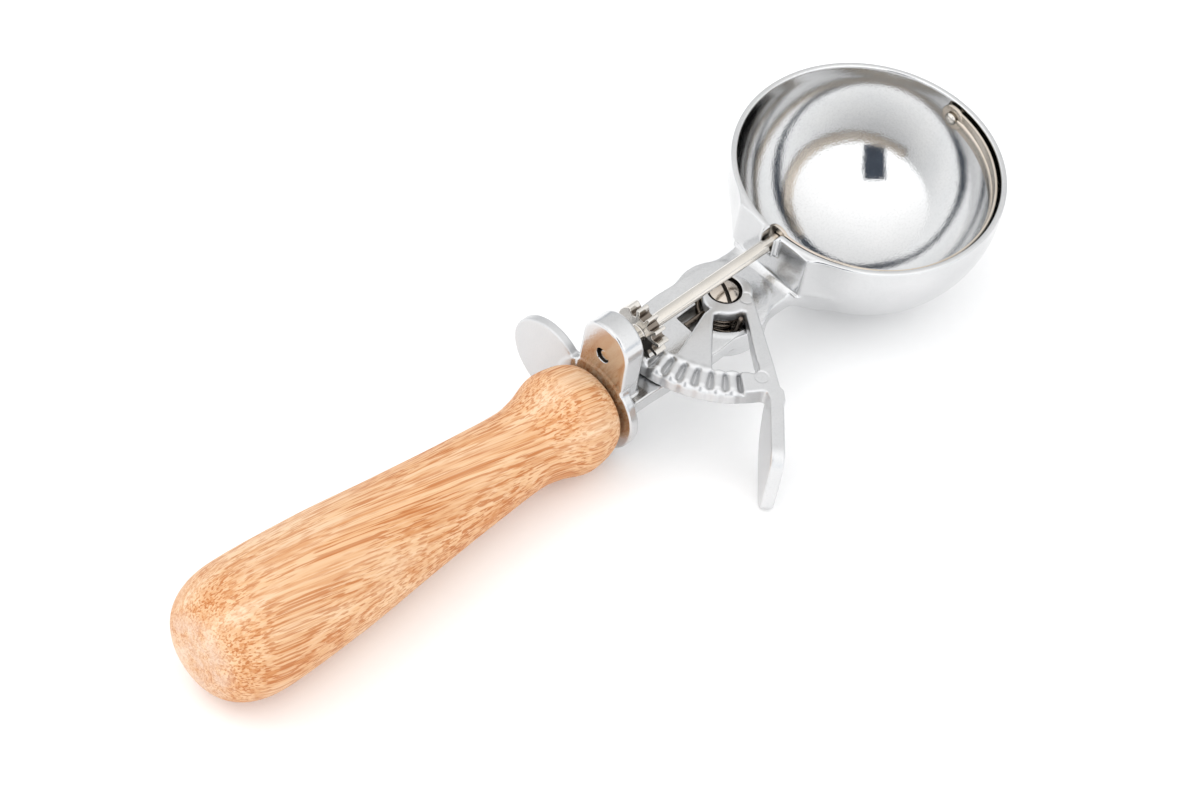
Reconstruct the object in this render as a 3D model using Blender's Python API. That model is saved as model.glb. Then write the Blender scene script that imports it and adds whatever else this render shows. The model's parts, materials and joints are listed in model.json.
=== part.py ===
"""Ice cream scoop with a thumb lever, a rack-and-pinion scraper and a turned
wooden handle.

Design frame (before the scoop is laid down on its resting points):
  origin  centre of the bowl's rim
  +X      from the handle to the bowl, along the scraper shaft
  +Y      towards the side of the fixed finger rest
  +Z      out of the mouth of the bowl
All driving dimensions below are millimetres; MM turns them into metres.
"""
import math

import bmesh
import bpy
from mathutils import Matrix, Vector

MM = 0.001

# ----------------------------------------------------------------- dimensions
# bowl
BOWL_R = 30.2          # outside radius
BOWL_WALL = 1.4
SHAFT_Z = -3.3         # height of the shaft axis and of the sphere's centre

# scraper shaft, turned from one bar
SHAFT_R = 1.45
SHAFT_NECK_R = 1.2
SHAFT_PIN_R = 1.3
SHAFT_X = (-78.9, -66.0, -31.75, -28.15)   # journal end, shoulder, neck, tip
JOURNAL_HOLE_R = 1.75
JOURNAL_HOLE_OFFSET = (0.2, 0.32)   # the drilled hole sits a little high

# pinion and toothed sector
PINION_TEETH = 12       # teeth that a full circle of the pinion would hold
PINION_BLANK = (-42.5, 47.5)   # left whole between these angles from +Y, at rest
SECTOR_TEETH_FULL = 51  # teeth that a full circle of the sector would hold
PINION_X = (-69.3, -66.3)
PINION_HUB = (-72.75, 1.95)    # far end and radius of the pinion's hub
PINION_TIP_R = 6.15
PINION_ROOT_R = 4.15

# lever
PIVOT_X = -42.6
LEVER_TOP = -8.0
LEVER_BOTTOM = -12.3
SECTOR_IN_R = 23.2
SECTOR_OUT_R = 28.4
TOOTH_ROOT_Z = -9.8
LIP_R, LIP_Z = 27.3, -9.25     # raised lip along the strip's outer edge
HUB_TOP = -9.4         # the arms' top slopes down to the hub
HUB_R = 6.1
HUB_FAR_R = 4.7        # the hub is slimmer on its far side
SCREW_HEAD_R = 3.45
HEAD_RECESS_R = 3.85
RECESS_FLOOR = -11.1
PADDLE_T = 2.9
PADDLE_TOP_CORNER = (12.0, -4.0, 4.0)     # along it, below the lever's top, radius
PADDLE_LOW_CORNER = (12.7, -15.5, 3.1)

# frame
FLANGE_X = -79.5       # face of the flange that looks at the handle
FLANGE_T = 2.4
LUG_T = 5.4
HANDLE_AXIS_Z = -18.9  # at the flange
LOBE_R = 11.0
REST_R = 10.0
REST_Y = 14.5
REST_Z = -19.2
BAR_TOP = -12.7
BAR_T = 4.1
BAR_HALF = 8.7
CUP_R = 10.4
POCKET_R = 9.0         # under the window, where the spring's leg comes out
POCKET_FAR_R = 6.0
POST_R = 3.9
SLOT_FLOOR = -15.15
POST_TOP = -13.35
POCKET_FLOOR = -18.2
CUP_BOTTOM = -19.6

# handle
HANDLE_TILT = 3.85     # the tang leans the handle up by this many degrees
HANDLE_LEN = 107.2

GAP = 0.3


def clear_scene():
    for obj in list(bpy.data.objects):
        bpy.data.objects.remove(obj, do_unlink=True)


clear_scene()
SCENE = bpy.context.scene


# ------------------------------------------------------------------ materials
def principled(name, color, roughness, metallic):
    mat = bpy.data.materials.new(name)
    mat.use_nodes = True
    bsdf = mat.node_tree.nodes["Principled BSDF"]
    bsdf.inputs["Base Color"].default_value = (*color, 1.0)
    bsdf.inputs["Roughness"].default_value = roughness
    bsdf.inputs["Metallic"].default_value = metallic
    mat.diffuse_color = (*color, 1.0)
    return mat


# -------------------------------------------------------------------- helpers
ROOT = bpy.data.objects.new("scoop_frame_of_reference", None)
SCENE.collection.objects.link(ROOT)


def add_object(name, bm, mat=None, origin=(0, 0, 0), helper=False, smooth=35):
    """The bmesh, in design millimetres, as an object whose origin is at
    `origin`, under the common empty."""
    bmesh.ops.translate(bm, verts=bm.verts, vec=-Vector(origin))
    bmesh.ops.scale(bm, verts=bm.verts, vec=(MM, MM, MM))
    bmesh.ops.recalc_face_normals(bm, faces=bm.faces)
    mesh = bpy.data.meshes.new(name)
    bm.to_mesh(mesh)
    bm.free()
    mesh.shade_smooth()
    mesh.set_sharp_from_angle(angle=math.radians(smooth))
    obj = bpy.data.objects.new(name, mesh)
    SCENE.collection.objects.link(obj)
    obj.parent = ROOT
    obj.location = Vector(origin) * MM
    if mat:
        mesh.materials.append(mat)
    if helper:
        obj.hide_render = True
        obj.display_type = "WIRE"
    return obj


def combine(obj, other, operation):
    mod = obj.modifiers.new(operation.lower() + "_" + other.name, "BOOLEAN")
    mod.operation = operation
    mod.solver = "EXACT"
    mod.object = other
    tri = obj.modifiers.new("triangles", "TRIANGULATE")
    tri.quad_method = "FIXED"
    tri.ngon_method = "BEAUTY"


def bevel(obj, width, segments=2, angle=40):
    mod = obj.modifiers.new("edge_round", "BEVEL")
    mod.width = width * MM
    mod.segments = segments
    mod.limit_method = "ANGLE"
    mod.angle_limit = math.radians(angle)
    mod.use_clamp_overlap = True


def arc(cx, cy, r, a0, a1, n):
    """n+1 points from a0 to a1 degrees."""
    return [(cx + r * math.cos(math.radians(a0 + (a1 - a0) * i / n)),
             cy + r * math.sin(math.radians(a0 + (a1 - a0) * i / n)))
            for i in range(n + 1)]


def prism(points, low, high, axis="Z"):
    """The outline, extruded along an axis. For Z the outline is (x, y); for
    X it is (y, z)."""
    bm = bmesh.new()
    if axis == "Z":
        verts = [bm.verts.new((x, y, low)) for x, y in points]
        step = (0, 0, high - low)
    else:
        verts = [bm.verts.new((low, y, z)) for y, z in points]
        step = (high - low, 0, 0)
    face = bm.faces.new(verts)
    out = bmesh.ops.extrude_face_region(bm, geom=[face])
    moved = [g for g in out["geom"] if isinstance(g, bmesh.types.BMVert)]
    bmesh.ops.translate(bm, verts=moved, vec=step)
    bmesh.ops.recalc_face_normals(bm, faces=bm.faces)
    return bm


def turned(profile, centre=(0, 0, 0), axis="Z", steps=48, tilt=None):
    """A profile of (along, radius) points turned about an axis through
    centre. Points with radius 0 lie on the axis."""
    bm = bmesh.new()
    verts = [bm.verts.new((r, 0, a)) for a, r in profile]
    edges = [bm.edges.new((verts[i], verts[i + 1])) for i in range(len(verts) - 1)]
    bmesh.ops.spin(bm, geom=verts + edges, cent=(0, 0, 0), axis=(0, 0, 1),
                   angle=2 * math.pi, steps=steps, use_duplicate=False)
    bmesh.ops.remove_doubles(bm, verts=bm.verts, dist=1e-4)
    if axis == "X":
        bm.transform(Matrix(((0, 0, 1), (0, 1, 0), (-1, 0, 0))).to_4x4())
    if tilt is not None:
        bm.transform(Matrix.Rotation(math.radians(tilt), 4, "Y"))
    bmesh.ops.translate(bm, verts=bm.verts, vec=Vector(centre))
    bmesh.ops.recalc_face_normals(bm, faces=bm.faces)
    return bm


def lofted(rings):
    """Closed rings of equal length, bridged into a solid with flat ends."""
    bm = bmesh.new()
    rows = [[bm.verts.new(p) for p in ring] for ring in rings]
    for a, b in zip(rows, rows[1:]):
        for i in range(len(a)):
            j = (i + 1) % len(a)
            bm.faces.new((a[i], a[j], b[j], b[i]))
    bm.faces.new(rows[0][::-1])
    bm.faces.new(rows[-1])
    bmesh.ops.recalc_face_normals(bm, faces=bm.faces)
    return bm


def rounded_rect(y0, y1, z0, z1, r, n=4):
    r = min(r, (y1 - y0) / 2 - 1e-3, (z1 - z0) / 2 - 1e-3)
    pts = []
    for cx, cy, a in ((y1 - r, z1 - r, 0), (y0 + r, z1 - r, 90),
                      (y0 + r, z0 + r, 180), (y1 - r, z0 + r, 270)):
        pts += arc(cx, cy, r, a, a + 90, n)
    return pts


# ------------------------------------------------------------- frame and bowl
def bowl_profile(radius, top=0.0, n=12, lip=0.0):
    """From the bottom of the sphere up to the rim, as (height, radius)."""
    pts = [(SHAFT_Z - radius * math.cos(math.radians(90 * i / n)),
            radius * math.sin(math.radians(90 * i / n))) for i in range(n + 1)]
    pts[0] = (SHAFT_Z - radius, 0.0)
    pts.append((top - lip, radius))
    return pts


def make_frame():
    cast = principled("cast_polished_metal", (0.80, 0.80, 0.79), 0.22, 1.0)
    profile = bowl_profile(BOWL_R, lip=0.5) + [(-0.15, BOWL_R - 0.15), (0.0, BOWL_R - 0.5),
                                               (0.0, 0.0)]
    frame = add_object("frame_and_bowl", turned(profile, steps=60), cast)

    def part(name, bm, operation="UNION"):
        combine(frame, add_object(name, bm, helper=True), operation)

    # upright pad on the outside of the bowl, under the rim notch
    pad = [(-24.9, -15.2), (-29.6, -9.9), (-29.7, -9.6), (-29.7, 9.6),
           (-29.6, 9.9), (-24.9, 15.2), (-20, 15), (-20, -15)]
    part("pad", prism(pad, -11.9, -0.55))
    ledge = [(-27.6, -11.0), (-29.9, -10.3), (-30.35, -9.8), (-30.35, 8.6),
             (-29.9, 9.3), (-27.6, 10.0), (-22.0, 10.0), (-22.0, -11.0)]
    part("pad_ledge", prism(ledge, -12.75, -12.05))

    # neck: rounded sections that grow into the underside of the bowl
    rings = []
    for x, half, low, high, r in ((-47.0, 8.2, -17.2, -13.5, 1.2),
                                  (-33.0, 8.2, -17.3, -12.8, 1.5),
                                  (-30.0, 8.5, -17.8, -12.5, 2.0),
                                  (-27.5, 9.2, -18.9, -12.0, 2.6),
                                  (-25.0, 10.0, -20.6, -11.0, 3.2),
                                  (-22.5, 10.6, -22.2, -10.0, 3.6),
                                  (-17.0, 9.0, -22.4, -9.0, 3.6)):
        rings.append([(x, y, z) for y, z in rounded_rect(-half, half, low, high, r, 4)])
    part("neck", lofted(rings))

    # flat bar with the spring cup around the pivot
    half = [(FLANGE_X + 1.0, BAR_HALF), (-72.0, BAR_HALF), (-53.0, BAR_HALF + 0.9),
            (-47.0, BAR_HALF + 0.6), (-33.6, 8.3), (-28.5, 8.3)]
    bar = [(x, -y) for x, y in half] + half[::-1]
    part("bar", prism(bar, BAR_TOP - BAR_T, BAR_TOP))
    rib = [(-78.9, -5.2), (-46.0, -5.2), (-46.0, 5.2), (-78.9, 5.2)]
    part("bar_rib", prism(rib, -18.6, -14.0))
    part("stud_boss", turned([(-78.5, 0.0), (-78.5, 5.6), (-71.5, 5.6), (-70.7, 4.8),
                              (-70.7, 0.0)], (0, 0, HANDLE_AXIS_Z), "X", 28))
    part("cup", prism(arc(PIVOT_X, 0, CUP_R, 0, 360 - 7.5, 47), CUP_BOTTOM, BAR_TOP + 0.02))

    # end flange: round seat for the handle and the fixed finger rest
    part("seat", prism(arc(0, REST_Z + 0.2, LOBE_R, 0, 352.5, 47),
                       FLANGE_X, FLANGE_X + FLANGE_T, "X"))
    part("finger_rest", prism(arc(REST_Y, REST_Z, REST_R, 0, 352.5, 47),
                              FLANGE_X + 0.02, FLANGE_X + 2.2, "X"))
    lug = arc(0, -0.6, 6.4, 0, 180, 16) + [(-6.5, -16.6), (6.5, -16.6)]
    part("shaft_lug", prism(lug, FLANGE_X - 0.01, FLANGE_X + LUG_T, "X"))

    # ears that hold the shaft's neck in the rim
    ears = [(-31.5, -2.5), (-29.2, -2.5), (-29.2, 2.5), (-31.5, 2.5)]
    part("rim_ears", prism(ears, -5.7, 0.3))

    # pocket for the return spring, wider under the lever's window, the shallow
    # slot for the spring's fixed leg, and the post that the spring sits round
    pocket = (arc(PIVOT_X, 0, POCKET_FAR_R, -68, 184, 40)
              + arc(PIVOT_X, 0, POCKET_R, 190, 266, 20))
    part("spring_pocket", prism(pocket, POCKET_FLOOR, -12.0), "DIFFERENCE")
    slot = [(-53.8, -2.1), (-47.5, -2.1), (-47.5, 2.3), (-53.8, 2.3)]
    part("spring_slot", prism(slot, SLOT_FLOOR, -11.9), "DIFFERENCE")
    part("pivot_post", turned([(POCKET_FLOOR - 0.6, 0.0), (POCKET_FLOOR - 0.6, POST_R),
                               (POST_TOP - 0.2, POST_R), (POST_TOP, POST_R - 0.2),
                               (POST_TOP, 0.0)], (PIVOT_X, 0, 0), steps=40))
    part("screw_hole", turned([(-25.0, 0.0), (-25.0, 1.45), (-12.0, 1.45), (-12.0, 0.0)],
                              (PIVOT_X, 0, 0), steps=24), "DIFFERENCE")
    # journal hole in the lug
    part("journal_hole", turned([(-82.0, 0.0), (-82.0, JOURNAL_HOLE_R),
                                 (-72.0, JOURNAL_HOLE_R), (-72.0, 0.0)],
                                (0, JOURNAL_HOLE_OFFSET[0], SHAFT_Z + JOURNAL_HOLE_OFFSET[1]),
                                "X", 24), "DIFFERENCE")
    # rim notch for the shaft's neck
    r = SHAFT_NECK_R + 0.25
    notch = arc(0, SHAFT_Z, r, 180, 360, 10) + [(r, 2.0), (-r, 2.0)]
    part("rim_notch", prism(notch, -34.0, -26.0, "X"), "DIFFERENCE")
    # hole for the scraper's far pivot
    part("far_hole", turned([(26.0, 0.0), (26.0, 1.25), (32.0, 1.25), (32.0, 0.0)],
                            (0, 0, SHAFT_Z), "X", 20), "DIFFERENCE")
    # hole for the handle's stud
    part("stud_hole", turned([(-3.0, 0.0), (-3.0, 2.85), (7.4, 2.85), (7.4, 0.0)],
                             (FLANGE_X, 0, HANDLE_AXIS_Z), "X", 20, HANDLE_TILT),
         "DIFFERENCE")
    # inside of the bowl
    inner = bowl_profile(BOWL_R - BOWL_WALL, top=2.0) + [(2.0, 0.0)]
    part("bowl_inside", turned(inner, steps=60), "DIFFERENCE")
    return frame


# --------------------------------------------------------------------- handle
HANDLE_KNOTS = ((0.0, 8.2), (0.012, 10.0), (0.04, 11.2), (0.078, 11.7), (0.142, 9.85),
                (0.19, 9.05), (0.31, 9.8), (0.50, 11.55), (0.70, 13.6), (0.87, 14.4))
BUTT_FLAT_R = 4.6


def handle_radius(t):
    """Radius of the turned handle at the fraction t of its length, from the
    flange end to the butt: a smooth curve through the turned diameters, then
    a rounded end down to a small flat."""
    t1, r1 = HANDLE_KNOTS[-1]
    if t >= t1:
        u = min(1.0, (t - t1) / (1 - t1))
        return BUTT_FLAT_R + (r1 - BUTT_FLAT_R) * (1 - u ** 2.3) ** (1 / 2.3)

    def secant(k):
        (ta, ra), (tb, rb) = HANDLE_KNOTS[k], HANDLE_KNOTS[k + 1]
        return (rb - ra) / (tb - ta)

    def slope(k):
        if k == 0:
            return 1.4 * secant(0)
        if k == len(HANDLE_KNOTS) - 1:
            return 0.0
        a, b = secant(k - 1), secant(k)
        return 0.0 if a * b <= 0 else 2 * a * b / (a + b)
    i = 0
    while t > HANDLE_KNOTS[i + 1][0]:
        i += 1
    (t0, r0), (t2, r2) = HANDLE_KNOTS[i], HANDLE_KNOTS[i + 1]
    h = t2 - t0
    u = (t - t0) / h
    return ((2 * u ** 3 - 3 * u ** 2 + 1) * r0 + (u ** 3 - 2 * u ** 2 + u) * slope(i) * h
            + (-2 * u ** 3 + 3 * u ** 2) * r2 + (u ** 3 - u ** 2) * slope(i + 1) * h)


def make_handle():
    wood = principled("turned_wood", (0.78, 0.47, 0.22), 0.55, 0.0)
    n = 26
    ts = sorted({0.004, 0.012, 0.022, 0.055, 0.095, 0.133, 0.175, 0.945, 0.98, 0.992, 0.998}
                | {i / n for i in range(n + 1)})
    front = 0.9
    profile = [(-front, 0.0)] + [(-front - t * HANDLE_LEN, handle_radius(t)) for t in ts]
    profile.append((-front - HANDLE_LEN, 0.0))
    centre = (FLANGE_X, 0, HANDLE_AXIS_Z)
    handle = add_object("wooden_handle", turned(profile, centre, "X", 40, HANDLE_TILT),
                        wood, origin=centre)
    bore = turned([(0.0, 0.0), (0.0, 3.3), (-52.0, 3.3), (-52.0, 0.0)], centre, "X", 20,
                  HANDLE_TILT)
    combine(handle, add_object("handle_bore", bore, origin=centre, helper=True), "DIFFERENCE")
    return handle


# ---------------------------------------------------------------------- lever
def polar(r, deg):
    """A point about the pivot; the angle runs from -X towards -Y."""
    a = math.radians(deg)
    return (PIVOT_X - r * math.cos(a), -r * math.sin(a))


def polar_arc(r, a0, a1, n):
    return [polar(r, a0 + (a1 - a0) * i / n) for i in range(n + 1)]


def hub_radius(deg):
    """The hub is slimmer on its far side than where the arms leave it."""
    grow = 0.0
    if deg < 205:
        grow = min(1.0, (205 - deg) / 55.0)
    elif deg > 325:
        grow = min(1.0, (deg - 325) / 50.0)
    grow = grow * grow * (3 - 2 * grow)
    return HUB_FAR_R + (HUB_R - HUB_FAR_R) * grow


PADDLE_DIR = Vector((-0.697, -0.717, 0)).normalized()
PADDLE_NORMAL = Vector((-0.717, 0.697, 0)).normalized()   # towards the handle
PADDLE_ROOT = Vector((-54.75, -29.55, 0))
ARM_DIR = Vector((-0.537, -0.844, 0)).normalized()        # long straight arm
ARM_EDGE = 5.75        # distance of that arm's outer edge from the pivot


def make_lever():
    metal = principled("die_cast_lever_metal", (0.78, 0.78, 0.78), 0.3, 1.0)
    first = -6.0          # the sector starts a little past the pinion
    outline = [polar(hub_radius(a), a) for a in range(122, 377, 8)]   # right round the back
    outline += [polar(8.2, 13.5), polar(21.4, 17.7), polar(22.3, 16.8), polar(22.7, 14.6)]
    outline += polar_arc(SECTOR_IN_R - 0.4, 12.0, first, 8)
    outline += polar_arc(SECTOR_OUT_R, first, 60.5, 34)
    outline += [(-56.0, -25.25), (-55.75, -25.8), (-55.85, -26.5)]   # into the paddle
    n = Vector((-ARM_DIR.y, ARM_DIR.x, 0))                     # away from the window
    corner = Vector((PIVOT_X, 0, 0)) + n * ARM_EDGE + ARM_DIR * 31.2
    outline += [(-55.0, -27.8), (corner.x - 0.1, corner.y + 0.1), (corner.x, corner.y)]
    start = Vector((PIVOT_X, 0, 0)) + n * ARM_EDGE + ARM_DIR * 2.2
    outline.append((start.x, start.y))
    lever = add_object("thumb_lever", prism(outline, LEVER_BOTTOM, LEVER_TOP), metal,
                       origin=(PIVOT_X, 0, LEVER_TOP))

    def part(name, bm, operation="UNION"):
        combine(lever, add_object(name, bm, origin=(PIVOT_X, 0, LEVER_TOP), helper=True),
                operation)

    # the top falls gently from the sector to the hub
    part("sloping_top", turned([(HUB_TOP, 0.0), (HUB_TOP, HUB_R + 0.1), (LEVER_TOP, 22.8),
                                (-5.0, 22.8), (-5.0, 0.0)], (PIVOT_X, 0, 0), steps=48),
         "DIFFERENCE")

    # paddle: a plate that stands at the lever's corner and hangs below it
    s1, z1, r1 = PADDLE_TOP_CORNER
    s2, z2, r2 = PADDLE_LOW_CORNER
    side = arc(s1, z1, r1, 90, 0, 6) + [(15.95, -9.5)] + arc(s2, z2, r2, 0, -80, 6)
    side += [(8.7, -18.2), (4.0, -17.5), (1.3, -16.9), (-0.4, -16.1), (-2.0, -14.6),
             (-3.3, -12.6), (-4.4, -9.6), (-5.0, -6.6), (-5.2, -4.0), (-5.2, -2.2),
             (-2.9, -1.6), (-2.9, 0.0)]
    bm = bmesh.new()
    base = PADDLE_ROOT + Vector((0, 0, LEVER_TOP))
    verts = [bm.verts.new(base + PADDLE_DIR * s + Vector((0, 0, z)) - PADDLE_NORMAL * 0.1)
             for s, z in side]
    face = bm.faces.new(verts)
    out = bmesh.ops.extrude_face_region(bm, geom=[face])
    moved = [g for g in out["geom"] if isinstance(g, bmesh.types.BMVert)]
    bmesh.ops.translate(bm, verts=moved, vec=PADDLE_NORMAL * (PADDLE_T + 0.1))
    part("paddle", bm)

    # window between the arms
    window = polar_arc(6.6, 36, 80, 6)
    window += [(-43.4, -7.3), (-45.5, -10.2), (-48.3, -13.8), (-51.1, -17.8),
               (-51.9, -19.3), (-52.9, -20.3), (-54.4, -20.4)]
    window += polar_arc(22.9, 57, 42.5, 6) + [(-60.4, -14.9), (-60.5, -14.2)]
    window += [(-55.5, -9.3), (-50.5, -4.6), (-49.1, -3.5)]
    part("window", prism(window, LEVER_BOTTOM - 1, LEVER_TOP + 1), "DIFFERENCE")

    # the toothed strip lies lower than the arms
    strip = (polar_arc(SECTOR_IN_R, first - 3, 53.0, 20)
             + polar_arc(SECTOR_OUT_R + 1.5, 53.0, first - 3, 20))
    part("tooth_strip", prism(strip, LIP_Z, LEVER_TOP + 1), "DIFFERENCE")
    gaps = (polar_arc(SECTOR_IN_R + 0.05, first - 2.5, 52.8, 20)
            + polar_arc(LIP_R, 52.8, first - 2.5, 20))
    part("tooth_gaps", prism(gaps, TOOTH_ROOT_Z, LIP_Z + 0.7), "DIFFERENCE")
    # hub bore and the recess of the screw's head
    part("hub_recess", turned([(RECESS_FLOOR, 0.0), (RECESS_FLOOR, HEAD_RECESS_R),
                               (-6.0, HEAD_RECESS_R), (-6.0, 0.0)],
                              (PIVOT_X, 0, 0), steps=36), "DIFFERENCE")
    part("hub_bore", turned([(-14.0, 0.0), (-14.0, 2.35), (-6.0, 2.35), (-6.0, 0.0)],
                            (PIVOT_X, 0, 0), steps=28), "DIFFERENCE")

    # teeth: radial bars with round tops and round outer ends
    pitch = 360.0 / SECTOR_TEETH_FULL
    for i in range(8):
        angle = TOOTH_0 + pitch * i
        part("tooth_%d" % i, sector_tooth(angle))
    return lever


TOOTH_0 = -0.6         # angle of the first tooth, from the pinion's line


def sector_tooth(angle):
    """One tooth: a bar along the radius, half-round on top, whose outer end
    is rounded and whose width grows with the radius."""
    a = math.radians(angle)
    radial = Vector((-math.cos(a), -math.sin(a), 0))
    across = Vector((math.sin(a), -math.cos(a), 0))
    centre = Vector((PIVOT_X, 0, 0))
    rings = []
    top = -8.15
    for r, w, h in ((SECTOR_IN_R - 0.6, 0.80, 0.0), (25.0, 0.87, 0.0), (27.0, 0.94, -0.05),
                    (27.8, 0.84, -0.35), (SECTOR_OUT_R - 0.1, 0.55, -0.9)):
        ring = []
        section = [(-w, TOOTH_ROOT_Z - 0.4), (w, TOOTH_ROOT_Z - 0.4)]
        section += [(w * math.cos(math.radians(t)), (top + h - w) + w * math.sin(math.radians(t)))
                    for t in (0, 30, 60, 90, 120, 150, 180)]
        for y, z in section:
            ring.append(centre + radial * r + across * y + Vector((0, 0, z)))
        rings.append(ring)
    return lofted(rings)


# ----------------------------------------------------- shaft, pinion, scraper
def make_shaft():
    steel = principled("nickel_plated_steel", (0.74, 0.71, 0.66), 0.24, 1.0)
    j, s, n, t = SHAFT_X
    profile = [(j, 0.0), (j, SHAFT_PIN_R - 0.2), (j + 0.2, SHAFT_PIN_R), (s, SHAFT_PIN_R),
               (s, SHAFT_R - 0.15), (s + 0.15, SHAFT_R), (n - 0.3, SHAFT_R),
               (n, SHAFT_R - 0.3), (n, SHAFT_NECK_R), (t, SHAFT_NECK_R), (t, 0.0)]
    return add_object("scraper_shaft", turned(profile, (0, 0, SHAFT_Z), "X", 24), steel,
                      origin=(0, 0, SHAFT_Z))


def make_pinion():
    steel = principled("nickel_plated_pinion", (0.70, 0.66, 0.60), 0.32, 1.0)
    pitch = 360.0 / PINION_TEETH
    outline = []
    for i in range(PINION_TEETH):
        mid = PINION_PHASE + pitch * i
        for frac, r in ((-0.5, PINION_ROOT_R), (-0.30, PINION_ROOT_R + 0.05),
                        (-0.215, PINION_ROOT_R + 0.75), (-0.165, PINION_TIP_R - 0.55),
                        (-0.10, PINION_TIP_R - 0.1), (0.0, PINION_TIP_R),
                        (0.10, PINION_TIP_R - 0.1), (0.165, PINION_TIP_R - 0.55),
                        (0.215, PINION_ROOT_R + 0.75), (0.30, PINION_ROOT_R + 0.05)):
            deg = (mid + frac * pitch + 180.0) % 360.0 - 180.0
            if PINION_BLANK[0] <= deg <= PINION_BLANK[1]:
                r = PINION_TIP_R
            a = math.radians(deg)
            outline.append((r * math.cos(a), SHAFT_Z + r * math.sin(a)))
    pinion = add_object("pinion", prism(outline, PINION_X[0], PINION_X[1], "X"), steel,
                        origin=(0, 0, SHAFT_Z))
    end, hub_r = PINION_HUB
    hub = turned([(end, 0.0), (end, hub_r - 0.15), (end + 0.15, hub_r),
                  (PINION_X[0] + 0.5, hub_r), (PINION_X[0] + 0.5, 0.0)],
                 (0, 0, SHAFT_Z), "X", 24)
    combine(pinion, add_object("pinion_hub", hub, origin=(0, 0, SHAFT_Z), helper=True), "UNION")
    bore = turned([(-76.0, 0.0), (-76.0, SHAFT_PIN_R + 0.12), (-60.0, SHAFT_PIN_R + 0.12),
                   (-60.0, 0.0)], (0, 0, SHAFT_Z), "X", 24)
    combine(pinion, add_object("pinion_bore", bore, origin=(0, 0, SHAFT_Z), helper=True),
            "DIFFERENCE")
    return pinion


# with the lever at rest a gap of the pinion faces each tooth of the sector
PINION_PHASE = 270.0 + 360.0 / PINION_TEETH * (0.5 - TOOTH_0 / (360.0 / SECTOR_TEETH_FULL))

SCRAPER_R = 28.2
SCRAPER_HALF = 3.2
SCRAPER_T = 0.7
SCRAPER_PARK = -3.0    # degrees below the rim plane, on the near side


def make_scraper():
    steel = principled("nickel_plated_scraper", (0.72, 0.68, 0.60), 0.3, 1.0)
    park = math.radians(180 - SCRAPER_PARK)   # in the YZ plane, from +Y
    out = Vector((0, math.cos(park), math.sin(park)))        # away from the axis
    side = Vector((0, -math.sin(park), math.cos(park)))      # across the band
    rings = []
    n = 40
    for i in range(n + 1):
        th = math.radians(3 + 174 * i / n)
        # radial direction of the half circle, from the near end to the far end
        rad = Vector((-math.cos(th), 0, 0)) + out * math.sin(th)
        w = SCRAPER_HALF * min(1.0, 0.80 + 0.4 * math.sin(th))
        r1 = SCRAPER_R
        ring = []
        for y, r in ((-w, r1 - 0.12), (-w * 0.5, r1), (w * 0.5, r1), (w, r1 - 0.12),
                     (w, r1 - SCRAPER_T), (0.75, r1 - SCRAPER_T), (0.45, r1 - SCRAPER_T - 0.45),
                     (-0.45, r1 - SCRAPER_T - 0.45), (-0.75, r1 - SCRAPER_T),
                     (-w, r1 - SCRAPER_T)):
            ring.append(Vector((0, 0, SHAFT_Z)) + rad * r + side * y)
        rings.append(ring)
    scraper = add_object("scraper_band", lofted(rings), steel, origin=(0, 0, SHAFT_Z))
    for name, x0, x1 in (("near_tab", -27.95, -27.15), ("far_tab", 27.25, 27.95)):
        tab = turned([(x0, 0.0), (x0, 3.1), (x1, 3.1), (x1, 0.0)], (0, 0, SHAFT_Z), "X", 24)
        combine(scraper, add_object(name, tab, origin=(0, 0, SHAFT_Z), helper=True), "UNION")
    hole = turned([(26.0, 0.0), (26.0, 1.2), (30.0, 1.2), (30.0, 0.0)], (0, 0, SHAFT_Z), "X", 20)
    combine(scraper, add_object("far_tab_hole", hole, origin=(0, 0, SHAFT_Z), helper=True),
            "DIFFERENCE")
    near = turned([(-29.0, 0.0), (-29.0, SHAFT_NECK_R + 0.1), (-26.0, SHAFT_NECK_R + 0.1),
                   (-26.0, 0.0)], (0, 0, SHAFT_Z), "X", 20)
    combine(scraper, add_object("near_tab_hole", near, origin=(0, 0, SHAFT_Z), helper=True),
            "DIFFERENCE")
    return scraper


def make_far_rivet():
    steel = principled("nickel_plated_rivet", (0.75, 0.70, 0.62), 0.28, 1.0)
    profile = [(25.9, 0.0), (25.95, 0.9), (26.3, 1.6), (26.9, 1.75), (26.95, 1.0),
               (30.35, 1.0), (30.4, 1.7), (30.8, 1.6), (31.2, 0.9), (31.3, 0.0)]
    return add_object("scraper_pivot_rivet", turned(profile, (0, 0, SHAFT_Z), "X", 20), steel,
                      origin=(0, 0, SHAFT_Z))


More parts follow.
